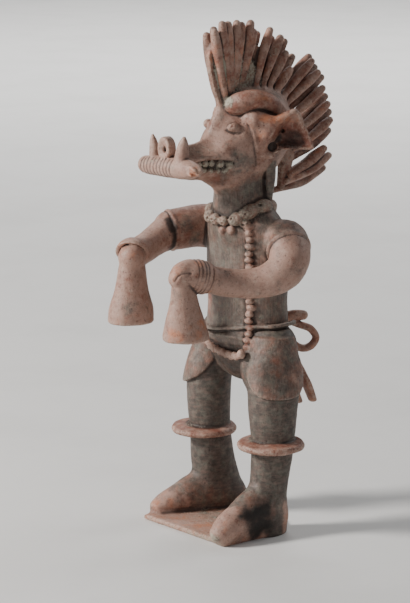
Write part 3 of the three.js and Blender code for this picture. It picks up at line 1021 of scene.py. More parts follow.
@dataclass
class Sash:
    """Sash knotted behind the left hip: a stub, a standing curl and two flat hanging ends."""

    stub: Sequence[Row] = ((16, 44, 175.5, 4.4), (21, 53, 177, 4.8), (25, 60.5, 177, 4.2))
    curl: Sequence[Row] = (
        (21, 52, 171.5, 3.0, 3.6), (24, 59, 168.5, 3.2, 4), (28, 66, 165, 3.3, 4.2),
        (30.5, 70, 157.5, 3.3, 4.4), (28.5, 66.5, 150.5, 3.4, 4.4), (24.5, 60, 148.4, 3.4, 4.4),
        (21, 53, 153, 3.6, 4.4), (17, 46, 163, 3.8, 4.4))
    ends: Sequence[Row] = ((29, 68, 102), (23, 57, 101))

    def model(self, clay: ClayField) -> None:
        """Presses the sash on behind the hip.

        Args:
            clay: the clay so far.
        """
        clay.add(Coil(self.curl), soft=1.0, tint=Tint.SASH)
        clay.add(Coil(self.stub), soft=0.8)
        for i, (x, y, z) in enumerate(self.ends):
            clay.add(Coil([(14 + 4 * i, 36, 160, 5, 3), (21 - 2 * i, 53 - 5 * i, 140, 6, 3),
                           (x - 2, y - 5, 118, 6.5, 2.8), (x, y, z + 2, 5.8, 2.4)], (1, 0, 0)), soft=0.8)


@dataclass
class HandBell:
    """Flaring hand bell, mouth down; its foot leans a little forward or back."""

    place: Row
    top: float
    foot: float
    lean: float
    neck: float
    base: float = 18.4
    wider: float = 1.12

    def model(self, clay: ClayField) -> None:
        """Turns the bell, with a rounded rim and a dished mouth.

        Args:
            clay: the clay so far.
        """
        tall, r, edge = self.top - self.foot, self.base, 1.4
        profile = [(0.03, 0.955), (0.08, 0.95), (0.24, 0.6 + self.neck * 0.6), (0.56, 0.3 + self.neck * 0.75),
                   (1.0, self.neck)]
        smooth = smooth_line([(k, w, 0.0) for k, w in profile], 0.08)
        outline = [(0, 3.0), (r * 0.6, 2.6), (r * 0.86, 1.4)]
        outline += [(r * w - edge, max(tall * k, edge)) for k, w in smooth[:, :2]] + [(0, tall)]
        bell = Turned(outline, (*self.place, self.foot), "z", self.wider, self.lean, edge)
        clay.add(bell, soft=0.8, tint=Tint.BELL)


@dataclass
class Cup(Shape):
    """Hollow of a hand: a thick half shell that is open towards one side."""

    centre: Row
    outer: float
    inner: float
    facing: Row
    mouth: float = 0.0
    shift: Row = (0.0, 0.0, 0.0)

    def box(self) -> tuple[Grid, Grid]:
        """Lowest and highest corner."""
        return np.array(self.centre) - self.outer, np.array(self.centre) + self.outer

    def distances(self, x: Grid, y: Grid, z: Grid) -> Grid:
        """Signed distances on an open grid.

        Args:
            x, y, z: the grid's open coordinates.

        Returns:
            The signed distances.
        """
        look = np.array(self.facing) / np.linalg.norm(self.facing)
        px, py, pz = x - self.centre[0], y - self.centre[1], z - self.centre[2]
        shell = np.sqrt(px**2 + py**2 + pz**2) - self.outer
        hollow = np.sqrt((px - self.shift[0]) ** 2 + (py - self.shift[1]) ** 2 + (pz - self.shift[2]) ** 2)
        lip = px * look[0] + py * look[1] + pz * look[2] - self.mouth
        return np.maximum(np.maximum(shell, self.inner - hollow), lip)


@dataclass
class Arm:
    """One arm: sleeve with its hem, arm, wrist band, closed hand and the bell in it.

    A wrap is a groove round the wrist: its middle, radius and depth.
    """

    side: Side
    sleeve: Sequence[Row]
    hem: Row
    arm: Sequence[Row]
    cuff: Sequence[Row]
    wraps: Sequence[Row]
    hand: Sequence[Shape]
    bell: HandBell
    grip: Sequence[Row] = ()

    def model(self, clay: ClayField) -> None:
        """Joins the arm to the shoulder and closes the hand over the bell.

        Args:
            clay: the clay so far.
        """
        clay.add(Coil(self.arm, step=2.5), soft=2.0, tint=Tint.ARM)
        sleeve = Tint.SLEEVE if self.side is Side.LEFT else Tint.FAR_SLEEVE
        clay.add(Coil(self.sleeve, step=2.5, flat_end=True, rounding=1.4), soft=0.8, tint=sleeve)
        x, y, z, radius = self.hem
        before, last = np.array(self.sleeve[-2][:3]), np.array(self.sleeve[-1][:3])
        along = tuple(last - before)
        clay.add(Coil([(*p, 1.4) for p in circle((x, y, z), along, radius)]), soft=1.0)
        ahead = last + (last - before) / np.linalg.norm(last - before) * 2.4
        clay.incise(circle(tuple(ahead), along, radius - 0.8), 0.8, 0.9)
        self.bell.model(clay)
        clay.add(*self.hand, soft=1.2, tint=Tint.HAND)
        if self.cuff:
            clay.add(Coil(self.cuff, step=2.0, flat_start=True, rounding=2.0), soft=0.5)
        for x, y, z, radius, depth in self.wraps:
            clay.incise(circle((x, y, z), (-0.17, -0.96, 0.24), radius), depth, 0.7)
        if self.grip:
            clay.incise(self.grip, 1.2, 0.8)


LEFT_ARM = Arm(
    Side.LEFT,
    sleeve=[(24, 20, 241, 17, 15), (35, 22, 245.5, 18, 17), (45, 22.5, 246.5, 18.4, 17.8),
            (52.5, 18.5, 242, 18, 17.8)],
    hem=(52.3, 18.8, 242.3, 17.4),
    arm=[(42, 22, 246, 15), (50.5, 20.5, 244, 16.6), (57.5, 15.5, 236.5, 16.8), (60, 8.5, 228, 15.8),
         (56.5, -1, 221.5, 14.2), (50, -11, 218, 12.6), (42, -24, 217.6, 11.8), (35, -42, 221, 11.4),
         (31, -61, 227, 11.2)],
    cuff=[(32.4, -54.2, 224.6, 13.4, 13.0), (31.2, -61.0, 226.8, 14.0, 13.4), (30.6, -66, 227.8, 12.4, 11.8)],
    wraps=[(32.9, -52.8, 224.1, 11.9, 1.5), (31.8, -57.2, 225.7, 13.6, 0.45),
           (31.3, -60.0, 226.5, 13.8, 0.45), (30.8, -63.4, 227.4, 13.6, 0.45),
           (30.4, -66.4, 228, 12.8, 0.45)],
    hand=[Coil([(31, -60, 227.5, 11, 10), (29.5, -67, 229, 12.2, 10.4), (28.7, -75, 228, 11, 9.6),
                (28.5, -78, 226.5, 8, 8)])],
    bell=HandBell((29, -74), 232, 175.5, 3.5, 0.38),
    grip=[(32.2, -85, 225.8), (34.7, -82.3, 230.6), (37.4, -77.8, 232.4), (38.8, -73.4, 231.8)],
)
RIGHT_ARM = Arm(
    Side.RIGHT,
    sleeve=[(-24, 20, 243, 17, 15), (-40, 17, 248, 18.6, 17), (-48, 6, 249.4, 18.2, 17.4),
            (-50, -9, 248.8, 17.4, 17), (-53.4, -20, 248, 17, 16.8)],
    hem=(-53.2, -19.6, 248, 16.4),
    arm=[(-53, -10, 248, 14.8), (-52, -22, 246.6, 14.8), (-49.5, -34, 244, 13.4), (-46.5, -45, 241, 12.4),
         (-43.5, -56, 238, 12), (-40.5, -65, 236, 11.8)],
    cuff=[],
    wraps=[],
    hand=[Cup((-39.2, -71.6, 235.6), 14.2, 11.9, (0.5, -0.62, -0.6), -0.5, (1.8, -0.8, -1.0)),
          Pellet((-36.4, -73.6, 233.6), (11.2, 11.4, 11.6)), Pellet((-36.8, -73.2, 223), (9, 9.6, 10))],
    bell=HandBell((-37, -73), 228, 180, -2, 0.54),
)


@dataclass
class Mask(Shape):
    """The animal mask and the skull behind it: y, middle height, half width, half height."""

    rows: Sequence[Row] = (
        (-59, 313, 6, 9), (-50, 313.5, 9.6, 13.2), (-44, 313.7, 11, 14.4), (-36, 313.9, 12.4, 15.2),
        (-29, 314, 14, 17.2), (-23.5, 315, 15.8, 21), (-17.5, 319, 18.6, 28.6), (-10, 322, 23, 35.4),
        (0, 325, 27.4, 39.6), (12, 327.5, 30.2, 41.5), (25, 330, 31, 39.5), (38, 334, 28, 33),
        (49, 338, 20, 24), (56, 340, 8, 11))
    seam: Sequence[Row] = (
        (303, 9), (309, 6.5), (317, 4.4), (323, 3), (328, 2.1), (335, 1), (341, 0.3), (347, 1.1), (356, 3))
    hood: float = 1.3
    pitch: float = 1.0

    def box(self) -> tuple[Grid, Grid]:
        """Lowest and highest corner."""
        return np.array([-33.0, self.rows[0][0], 275.0]), np.array([33.0, self.rows[-1][0], 372.0])

    def _section(self, y: Grid, z: Grid) -> tuple[Grid, Grid]:
        """Half width at places, and their heights over the middle as shares of the half height.

        Args:
            y, z: the places.

        Returns:
            The half widths and the shares.
        """
        line = smooth_line(self.rows, 1.0)
        middle, wide, tall = (np.interp(y, line[:, 0], line[:, k]) for k in (1, 2, 3))
        up = (z - middle) / tall
        ridge = 1 - 0.5 * (1 - smooth_step(y, -12, 14)) * smooth_step(up, 0.2, 0.9)
        return wide * ridge, up

    def distances(self, x: Grid, y: Grid, z: Grid) -> Grid:
        """Signed distances on an open grid.

        Args:
            x, y, z: the grid's open coordinates.

        Returns:
            The signed distances.
        """
        wide, up = self._section(y, z)
        value = np.sqrt((x / wide) ** 2 + up**2) - 1
        beyond = np.maximum(self.rows[0][0] - y, y - self.rows[-1][0])
        value = np.where(beyond > 0, value + beyond * 0.3, value).astype(np.float32)
        steep = np.sqrt(sum(g * g for g in np.gradient(value, self.pitch)))
        seam = np.interp(z, [row[0] for row in self.seam], [row[1] for row in self.seam])
        hood = self.hood * smooth_step(y - seam, -0.6, 0.6) * smooth_step(z, 298, 308)
        return np.clip(value / np.maximum(steep, 1e-3) - hood, -FAR, FAR)

    def side_x(self, y: float, z: float) -> float:
        """Half width of the mask at a place."""
        wide, up = self._section(np.array(y), np.array(z))
        return float(wide * math.sqrt(max(0.0, 1 - up * up)))


@dataclass
class Face:
    """The mask's brows, eyes, seam, open mouth and teeth."""

    mask: Mask = field(default_factory=Mask)
    brows: dict[Side, Pellet] = field(default_factory=lambda: {
        Side.LEFT: Pellet((22, 7.5, 348.5), (8, 10, 7), -25),
        Side.RIGHT: Pellet((-22, 21.5, 348.5), (5.2, 10, 7), 25)})
    eye: Row = (16.2, -9.2, 340.6)
    lid: Sequence[Row] = ((-14.4, 338.6), (-12.4, 336.8), (-9.4, 336.0), (-6.8, 336.6))
    gape: Sequence[Row] = (
        (11, -62, 309.4, 5.9, 4.4), (13.5, -36, 310.4, 6.2, 4.6), (19, -20, 310, 6, 4),
        (24, -11.5, 311.5, 3.2, 3))
    lip: Sequence[Row] = ((-50, 317.2), (-40, 317.6), (-30, 317.8), (-20, 317.4), (-12, 316.2))
    upper: Sequence[Row] = (
        (-41.5, 313.0, 2.2), (-35.8, 313.2, 2.6), (-30.2, 313.0, 2.7), (-22.8, 312.4, 3.3),
        (-15.4, 310.8, 2.9))
    lower: Sequence[Row] = (
        (-35.6, 307.4, 2.2), (-29.6, 306.8, 2.4), (-23.4, 306.4, 2.4), (-17.4, 306.2, 2.4))

    def _on_mask(self, rows: Sequence[Row], side: Side, out: float) -> list[Row]:
        """Places on the mask's side from (y, z) rows, standing out a little or sunk in."""
        return [(side.value * (self.mask.side_x(y, z) + out), y, z) for y, z in rows]

    def _eye(self, clay: ClayField, side: Side) -> None:
        """Presses in the brow and the eye, draws the lid under it and pricks the pupil.

        Args:
            clay: the clay so far.
            side: which eye.
        """
        clay.add(self.brows[side], soft=3.0)
        x, y, z = self.eye
        clay.incise(self._on_mask(self.lid, side, 0.2), 1.3, 1.0)
        clay.add(Pellet((side.value * x, y, z), (5.2, 4.0, 4.0), side.value * 58), soft=0.3, tint=Tint.MASK)
        clay.cut(Pellet((side.value * (x + 1.6), y - 3.6, z + 1.3), (0.9, 1.3, 0.8)), soft=0.4)

    def _mouth(self, clay: ClayField, side: Side) -> None:
        """Cuts half of the mouth, lays its lip and presses in the teeth.

        Args:
            clay: the clay so far.
            side: which half.
        """
        clay.cut(Coil([(side.value * row[0], *row[1:]) for row in self.gape]), soft=0.4)
        clay.add(Coil([(*place, 1.8) for place in self._on_mask(self.lip, side, -0.4)]), soft=1.5)
        for row, sunk in ((self.upper, 0.7), (self.lower, 1.5)):
            for y, z, r in row:
                x = self.mask.side_x(y, z) - sunk
                clay.add(Pellet((side.value * x, y, z), (r, r, r)), soft=0.3, tint=Tint.TOOTH)

    def model(self, clay: ClayField) -> None:
        """Models the mask, then eye, seam and mouth on each side.

        Args:
            clay: the clay so far.
        """
        self.mask.pitch = clay.pitch
        clay.add(self.mask, soft=5.0, tint=Tint.MASK)
        for side in Side:
            self._eye(clay, side)
            seam = self._on_mask([(y, z) for z, y in self.mask.seam[1:-1]], side, 0.6)
            clay.incise([(x, y - 0.7, z) for x, y, z in seam], 1.5, 0.9)
            self._mouth(clay, side)


@dataclass
class Ear(Shape):
    """Cupped leaf standing out and back from the mask; (s, t) run outwards and up in its plane."""

    side: Side
    place: Row = (28, 11, 334)
    outline: Sequence[Row] = (
        (-6, -20), (6, -17.5), (10, -15), (16, -12.8), (23, -11.4), (33, -12.4), (42, -12.4), (42.4, -10),
        (39.5, -2), (37, 4), (34.5, 8), (33, 13.5), (30.6, 18), (27.4, 21.2), (22.4, 20), (16.8, 17.2),
        (10.3, 14.8), (0, 18), (-6, 18))
    bowl: Sequence[Row] = (
        (23.6, 17.6), (18.7, 13.4), (14.5, 8.6), (11.2, 3.6), (7.4, -2.2), (4.4, -6), (3.6, -10.5),
        (6.2, -14), (12, -13), (20, -10.4), (30, -11), (39, -11), (37.4, -3), (34.6, 3), (32, 8),
        (30.6, 13), (28.2, 16.4))
    half: float = 1.9
    deep: float = 8.5
    face: float = 0.4
    splay: Row = (0.6, 0.8)
    rim: Sequence[Row] = (
        (-6, 12, 1, 6.5), (3, 11, 1.2, 5.6), (11, 11.2, 1.6, 4.6), (18, 15, 1.8, 3.6), (25.5, 18.6, 1.4, 2.6))
    lip: Sequence[Row] = (
        (8, 8, 1.6, 4.4), (4.5, 1, 1.8, 4.4), (0.6, -5, 1.6, 4.2), (-0.6, -11, 1.4, 3.8),
        (2, -16.5, 1.4, 3.4))

    def box(self) -> tuple[Grid, Grid]:
        """Lowest and highest corner."""
        x = self.side.value * np.array([14.0, 66.0])
        return np.array([x.min(), 0.0, 308.0]), np.array([x.max(), 60.0, 360.0])

    def frame(self, x: Grid, y: Grid, z: Grid) -> tuple[Grid, Grid, Grid]:
        """Places outwards, up and square to the leaf."""
        sx, py = x * self.side.value - self.place[0], y - self.place[1]
        out, back = self.splay
        return sx * out + py * back, z - self.place[2], sx * back - py * out

    def spot(self, s: float, t: float, n: float) -> Row:
        """Place of a point of the leaf."""
        out, back = self.splay
        return (self.side.value * (self.place[0] + out * s + back * n), self.place[1] + back * s - out * n,
                self.place[2] + t)

    def floor(self, s: Grid, t: Grid) -> Grid:
        """How far the hollow's floor lies behind the leaf's front."""
        inside = -outline_distance(self.bowl, s + 0 * t, t + 0 * s)
        return self.deep * smooth_step(inside, -0.5, 6.5) * (1.0 - 0.6 * smooth_step(s, 14, 38))

    def distances(self, x: Grid, y: Grid, z: Grid) -> Grid:
        """Signed distances on an open grid."""
        s, t, n = self.frame(x, y, z)
        edge = outline_distance(self.outline, s + 0 * t, t + 0 * s)
        return slab_distance(edge, np.abs(n + self.floor(s, t) - self.face) - self.half, 1.4)

    def model(self, clay: ClayField) -> None:
        """Sets the leaf on the head, rolls its rim, and hollows it.

        The right ear's rim is rolled only where it stands clear of the head.

        Args:
            clay: the clay so far.
        """
        clay.add(self, soft=2.5, tint=Tint.EAR)
        turn = self.side.value * 53.0
        for row in (self.rim if self.side is Side.LEFT else self.rim[2:], self.lip):
            clay.add(Coil([(*self.spot(*r[:3]), r[3]) for r in row]), soft=3.0)
        clay.add(Pellet(self.spot(1.5, 3.5, 0.6), (7, 5, 8), turn), soft=4.0)
        clay.cut(EarHollow(self), soft=0.8)
        clay.cut(Pellet(self.spot(8.4, -10.2, -2), (4.9, 7, 4.0), turn), soft=0.5)
        clay.cut(Pellet(self.spot(17.4, 2.3, -7), (1.6, 3.5, 1.5), turn), soft=0.5)
        clay.add(Pellet(self.spot(6, -16.6, 1.0), (4.2, 3.4, 2.6), turn), soft=1.2)


@dataclass
class EarHollow(Shape):
    """The air in an ear's cup."""

    ear: Ear
    ahead: float = 16.0

    def box(self) -> tuple[Grid, Grid]:
        """Lowest and highest corner."""
        return self.ear.box()

    def distances(self, x: Grid, y: Grid, z: Grid) -> Grid:
        """Signed distances on an open grid."""
        s, t, n = self.ear.frame(x, y, z)
        edge = outline_distance(self.ear.bowl, s + 0 * t, t + 0 * s)
        front = self.ear.face + self.ear.half - self.ear.floor(s, t)
        return np.maximum(np.maximum(edge, front - n), n - self.ahead)


@dataclass
class HeadRolls:
    """A thick coil laid along each side of the crest, from the forehead to behind the ear."""

    near: Sequence[Row] = (
        (9, -6, 357, 5, 5), (12, -3, 358.5, 8.6, 8), (18, 2, 361, 9, 8.4), (23, 9, 362.5, 8.2, 7.8),
        (25.5, 18, 360, 7.4, 7), (25, 28, 354, 6.6, 6.4), (20, 38, 347, 6, 5.6), (10, 47, 343, 5, 5))
    far_back: float = 9.0

    def model(self, clay: ClayField) -> None:
        """Lays the near roll and the far roll, which starts further back."""
        clay.add(Coil(self.near), soft=1.5, tint=Tint.ROLL)
        clay.add(Coil([(-r[0], r[1] + self.far_back, *r[2:]) for r in self.near[2:]]), soft=1.5)


@dataclass
class HangingBands:
    """Bands that hang from the ears to the shoulders."""

    rows: Sequence[Row] = (
        (25.5, 22, 326, 4, 5.5), (25.5, 22.5, 300, 3.6, 4.6), (24, 22.5, 284, 3.2, 3.2),
        (22.5, 22, 268, 3, 3))

    def model(self, clay: ClayField) -> None:
        """Hangs one band on each side."""
        for side in Side:
            band = Coil([(side.value * r[0], *r[1:]) for r in self.rows], (1, 0, 0))
            clay.add(band, soft=0.8, tint=Tint.BAND)


@dataclass
class NoseBar:
    """Bar across the muzzle: ringed far half, smooth near half with a curled end, horns and knob."""

    y: float = -65.0
    z: float = 312.0
    rows: Sequence[Row] = (
        (-27.5, 7.2), (-18.5, 8.0), (-9, 8.1), (1, 8.2), (11, 8.4), (20, 8.4), (28, 7.4), (35, 5.0),
        (40, 2.6))
    rings: Sequence[float] = (-26.5, -22.3, -18.2, -13.9, -9.8, -5.4, -1.3, 3.0, 7.2, 11.6)
    horns: Sequence[Sequence[Row]] = (
        ((-17.0, 318, 4.4), (-17.6, 325, 3.9), (-18.6, 331, 2.9), (-19.3, 335.6, 1.2)),
        ((16.6, 316, 6.4), (17.8, 324, 5.8), (19.4, 331.5, 4.2), (20.6, 337.4, 1.6)))
    knob: Row = (-0.8, 327.2)
    knob_outline: Sequence[Row] = ((0, -2.6), (6.0, -2.6), (6.0, 2.6), (0, 2.6))
    claws: Sequence[tuple[Row, Row]] = (
        ((37.0, -69.6, 315.2), (4.4, 2.0, 1.6)), ((38.4, -66.5, 311.8), (4.0, 2.2, 1.5)),
        ((34.6, -70.6, 310.6), (3.4, 2.0, 1.4)))

    def _height(self, x: float) -> float:
        """Height of the bar's middle, which rises a little to the left."""
        return self.z + 0.035 * x

    def model(self, clay: ClayField) -> None:
        """Lays the bar over the muzzle, cuts its rings and models what stands on it.

        Args:
            clay: the clay so far.
        """
        clay.add(Coil([(x, self.y, self._height(x), r) for x, r in self.rows]), soft=2.0, tint=Tint.BAR)
        for horn in self.horns:
            clay.add(Coil([(x, self.y, z, r) for x, z, r in horn], (1, 0, 0)), soft=1.2)
        x, z = self.knob
        clay.add(Turned(self.knob_outline, (x, self.y - 0.6, z), "y", 1.24, rounding=1.5), soft=0.8)
        clay.cut(Pellet((-0.9, -69.8, 327), (5.4, 1.6, 6.4)), soft=0.6)
        clay.cut(Pellet((-0.6, -68.5, 326.4), (2.2, 4, 3.0)), soft=0.4)
        for x in self.rings:
            radius = float(np.interp(x, *zip(*self.rows)))
            lean = (1, 0.05 * math.sin(3 * x), 0.07 * math.cos(2 * x))
            clay.incise(circle((x, self.y, self._height(x)), lean, radius + 0.2, 28, 332), 0.65, 0.9)
        for place, half in self.claws:
            clay.add(Tilted(place, half, 10, -28), soft=0.4)


@dataclass
class Crest:
    """Feather crest: a joined sheet, high over the forehead, and two layers of feathers on it."""

    centre: Row = (24.0, 318.0)
    apart: float = 4.6
    radius: float = 4.3
    near_tips: Sequence[Row] = (
        (-23.5, 112), (-18.5, 114.5), (-15.5, 112), (-10.5, 110), (-8, 107.5), (-2.6, 107.5), (-1, 100),
        (9.3, 101.7), (16.9, 97.3), (23.3, 86.7), (31.3, 76.7), (42.2, 95.4), (49.9, 93.5), (58.8, 90.4),
        (68.3, 89), (77.4, 87.8), (93.2, 79.3), (97.5, 85.5))
    far_tips: Sequence[Row] = (
        (-24.5, 109), (-20, 110), (-13, 109), (-5, 104), (6.3, 97.3), (15.9, 95.5), (25, 97.3), (34, 90),
        (43.5, 101), (50, 99), (57, 100), (66.6, 96), (75.3, 96), (84.7, 93), (95, 85), (105, 90))
    rim: Sequence[Row] = (
        (-44, 50), (-39, 66), (-34.5, 82), (-31, 94), (-26, 101), (-20, 100), (-14, 97), (-8, 94), (-2, 90),
        (5, 84), (13, 72), (24, 56), (36, 50), (60, 47), (85, 46), (100, 47), (112, 46), (127, 48), (139, 50))
    silt: Sequence[Row] = (
        (-29, 66), (-25, 84), (-21, 94), (-15, 90), (-9, 86), (-3, 74), (4, 62), (12, 54), (12, 40),
        (-20, 40), (-34, 54))
    inner: Sequence[Row] = ((54, 283), (55, 306), (44, 318), (20, 330), (-8, 345))

    def _at(self, degrees: float, reach: float) -> Row:
        """Place (y, z) in the fan's plane."""
        a = math.radians(degrees)
        return self.centre[0] + reach * math.sin(a), self.centre[1] + reach * math.cos(a)

    @staticmethod
    def _root(tip: float) -> float:
        """Angle of a feather's root; roots lie nearer the forehead in front and the nape behind."""
        if tip < 50:
            return tip - 13 + 6 * float(smooth_step(np.array(tip), 10, 50))
        return 43 + 1.85 * (tip - 50)

    def feather(self, tip: float, reach: float, x: float) -> Coil:
        """One quill from the sheet's root line to its blunt tip.

        Args:
            tip: angle of its tip in the fan.
            reach: how far the tip is from the middle of the fan.
            x: which face of the sheet it lies on.

        Returns:
            The feather as a coil.
        """
        root = 53 if tip < -12 else 60 if tip < 8 else 46
        y0, z0 = self._at(self._root(tip), root)
        y1, z1 = self._at((self._root(tip) + 1.6 * tip) / 2.6, (root + reach) / 2)
        y2, z2 = self._at(tip, reach)
        r = self.radius
        back = np.array([y2 - y1, z2 - z1])
        y3, z3 = np.array([y2, z2]) - back / np.linalg.norm(back) * r * 0.75
        return Coil([(x * 0.8, y0, z0, r * 0.8, r * 0.6), (x, y1, z1, r * 1.05, r * 0.86),
                     (x, y1 + (y3 - y1) * 0.6, z1 + (z3 - z1) * 0.6, r * 1.05, r * 0.94),
                     (x, y3, z3, r * 0.78, r * 0.74)], (1, 0, 0))

    def model(self, clay: ClayField) -> None:
        """Stands the sheet on the head and presses the feathers on to both faces.

        Args:
            clay: the clay so far.
        """
        outline = [self._at(*row) for row in self.rim] + list(self.inner)
        clay.add(Sheet(outline, "x", 0.0, self.apart - 1.4, 1.6), soft=1.0, tint=Tint.CREST)
        for tip, reach in self.far_tips:
            clay.add(self.feather(tip, reach, -self.apart), soft=0.2, tint=Tint.FAR_FEATHER)
        for tip, reach in self.near_tips:
            clay.add(self.feather(tip, reach, self.apart), soft=0.2, tint=Tint.FEATHER)
        silt = [self._at(*row) for row in self.silt]
        clay.add(Sheet(silt, "x", 0.0, self.apart + 0.8, 1.6), soft=0.6, tint=Tint.SILT)


# The finish


def linear(*channels: int) -> Row:
    """Colour for a shader socket from screen values of 0 to 255."""
    shares = [channel / 255 for channel in channels]
    return (*(c / 12.92 if c <= 10 / 255 else ((c + 0.055) / 1.055) ** 2.4 for c in shares), 1.0)


class Wiring:
    """Short calls for placing and joining shader nodes in one tree."""

    def __init__(self, tree: Tree) -> None:
        """Works in the given tree."""
        self.tree = tree

    def node(self, kind: str, **settings: object) -> bpy.types.Node:
        """Places a node and sets its properties."""
        made = self.tree.nodes.new(kind)
        for name, value in settings.items():
            setattr(made, name, value)
        return made

    def feed(self, socket: Socket, value: object) -> None:
        """Joins a socket to another one, or sets its value."""
        if isinstance(value, Socket):
            self.tree.links.new(value, socket)
        else:
            socket.default_value = value

    def math(self, operation: str, a: object, b: object = 0.0, clamp: bool = False) -> Socket:
        """One sum."""
        made = self.node("ShaderNodeMath", operation=operation, use_clamp=clamp)
        self.feed(made.inputs[0], a)
        self.feed(made.inputs[1], b)
        return made.outputs[0]

    def mix(self, share: object, under: object, over: object) -> Socket:
        """Lays one colour over another."""
        made = self.node("ShaderNodeMix", data_type="RGBA", clamp_factor=True)
        for name, value in (("Factor_Float", share), ("A_Color", under), ("B_Color", over)):
            self.feed(next(s for s in made.inputs if s.identifier == name), value)
        return next(s for s in made.outputs if s.identifier == "Result_Color")

    def rise(self, value: object, low: float, high: float, top: float = 1.0) -> Socket:
        """Eased rise from 0 at low to top at high."""
        made = self.node("ShaderNodeMapRange", interpolation_type="SMOOTHSTEP")
        for name, number in (("Value", value), ("From Min", low), ("From Max", high), ("To Max", top)):
            self.feed(made.inputs[name], number)
        return made.outputs[0]

    def noise(self, place: object, size: object, detail: float = 3.0, rough: float = 0.55) -> Socket:
        """Lumpy noise from 0 to 1.

        Args:
            place: where it is worked out.
            size: size of the lumps, in millimetres.
            detail: number of finer layers.
            rough: strength of the finer layers.

        Returns:
            The noise.
        """
        made = self.node("ShaderNodeTexNoise")
        self.feed(made.inputs["Vector"], place)
        scale = self.math("DIVIDE", 1.0, size) if isinstance(size, Socket) else 1.0 / size
        self.feed(made.inputs["Scale"], scale)
        made.inputs["Detail"].default_value = detail
        made.inputs["Roughness"].default_value = rough
        return made.outputs["Fac"]

    def stretch(self, place: object, scale: Row) -> Socket:
        """Place scaled along each axis."""
        made = self.node("ShaderNodeVectorMath", operation="MULTIPLY")
        self.feed(made.inputs[0], place)
        made.inputs[1].default_value = scale
        return made.outputs[0]

    def written(self, name: str) -> Socket:
        """A strength that the modelling wrote on the mesh."""
        return self.node("ShaderNodeAttribute", attribute_name=name).outputs["Fac"]

    def effect(self, group: Tree, **values: object) -> Socket:
        """Places a shared effect and gives its output."""
        made = self.node("ShaderNodeGroup", node_tree=group)
        for name, value in values.items():
            self.feed(made.inputs[name], value)
        return made.outputs[0]


def new_effect(name: str, *inputs: tuple[str, str]) -> tuple[Wiring, dict[str, Socket], Socket]:
    """Starts a shared effect that gives one mask.

    Args:
        name: the effect's name.
        inputs: name and kind ("Vector" or "Float") of each input.

    Returns:
        Wiring in the group, its inputs by name, and the socket for its result.
    """
    tree = bpy.data.node_groups.new(name, "ShaderNodeTree")
    for label, kind in inputs:
        tree.interface.new_socket(label, in_out="INPUT", socket_type="NodeSocket" + kind)
    tree.interface.new_socket("Mask", in_out="OUTPUT", socket_type="NodeSocketFloat")
    wiring = Wiring(tree)
    entry, leave = wiring.node("NodeGroupInput"), wiring.node("NodeGroupOutput")
    return wiring, {label: entry.outputs[label] for label, _ in inputs}, leave.inputs["Mask"]


def new_material(name: str) -> tuple[bpy.types.Material, Wiring, bpy.types.Node, Socket]:
    """Starts a material.

    Args:
        name: the material's name.

    Returns:
        The material, its wiring, its Principled shader, and the place on the object in millimetres.
    """
    material = bpy.data.materials.new(name)
    material.use_nodes = True
    wiring = Wiring(material.node_tree)
    place = wiring.stretch(wiring.node("ShaderNodeTexCoord").outputs["Object"], (1 / MM,) * 3)
    return material, wiring, material.node_tree.nodes["Principled BSDF"], place


@dataclass
class Effects:
    """Shader effects that more than one finish uses, each built once."""

    patches: Tree | None = None
    grit: Tree | None = None
    strokes: Tree | None = None

    def build(self) -> "Effects":
        """Builds the three effects."""
        self.patches, self.grit, self.strokes = self._patches(), self._grit(), self._strokes()
        return self

    @staticmethod
    def _patches() -> Tree:
        """Soft-edged blots of about one size that cover a share of the surface.

        Returns:
            The node group.
        """
        w, given, out = new_effect("clay_patches", ("Place", "Vector"), ("Size", "Float"), ("Cover", "Float"))
        lump = w.noise(given["Place"], given["Size"], 4.0, 0.62)
        value = w.math("ADD", given["Cover"], w.math("MULTIPLY", w.math("SUBTRACT", lump, 0.5), 1.7))
        w.feed(out, w.rise(value, 0.22, 0.78))
        return w.tree

    @staticmethod
    def _grit() -> Tree:
        """Round specks, one in some of the cells.

        Returns:
            The node group.
        """
        w, given, out = new_effect("clay_grit", ("Place", "Vector"), ("Size", "Float"), ("Cover", "Float"))
        cells = w.node("ShaderNodeTexVoronoi", feature="F1")
        w.feed(cells.inputs["Vector"], given["Place"])
        w.feed(cells.inputs["Scale"], w.math("DIVIDE", 1.0, given["Size"]))
        chance = w.node("ShaderNodeSeparateColor")
        w.feed(chance.inputs[0], cells.outputs["Color"])
        dot = w.math("SUBTRACT", 1.0, w.rise(cells.outputs["Distance"], 0.16, 0.4))
        w.feed(out, w.math("MULTIPLY", dot, w.math("LESS_THAN", chance.outputs[0], given["Cover"])))
        return w.tree

    @staticmethod
    def _strokes() -> Tree:
        """Fine streaks of the burnishing stone, drawn out by the place that is fed in."""
        w, given, out = new_effect("burnish_strokes", ("Place", "Vector"), ("Size", "Float"))
        w.feed(out, w.noise(given["Place"], given["Size"], 2.0, 0.5))
        return w.tree


@dataclass(frozen=True)
class Marks:
    """Masks that the clay's colour, gloss and relief share."""

    mottle: Socket
    blotch: Socket
    bare: Socket
    stroke: Socket
    crust: Socket
    soot: Socket
    specks: Socket


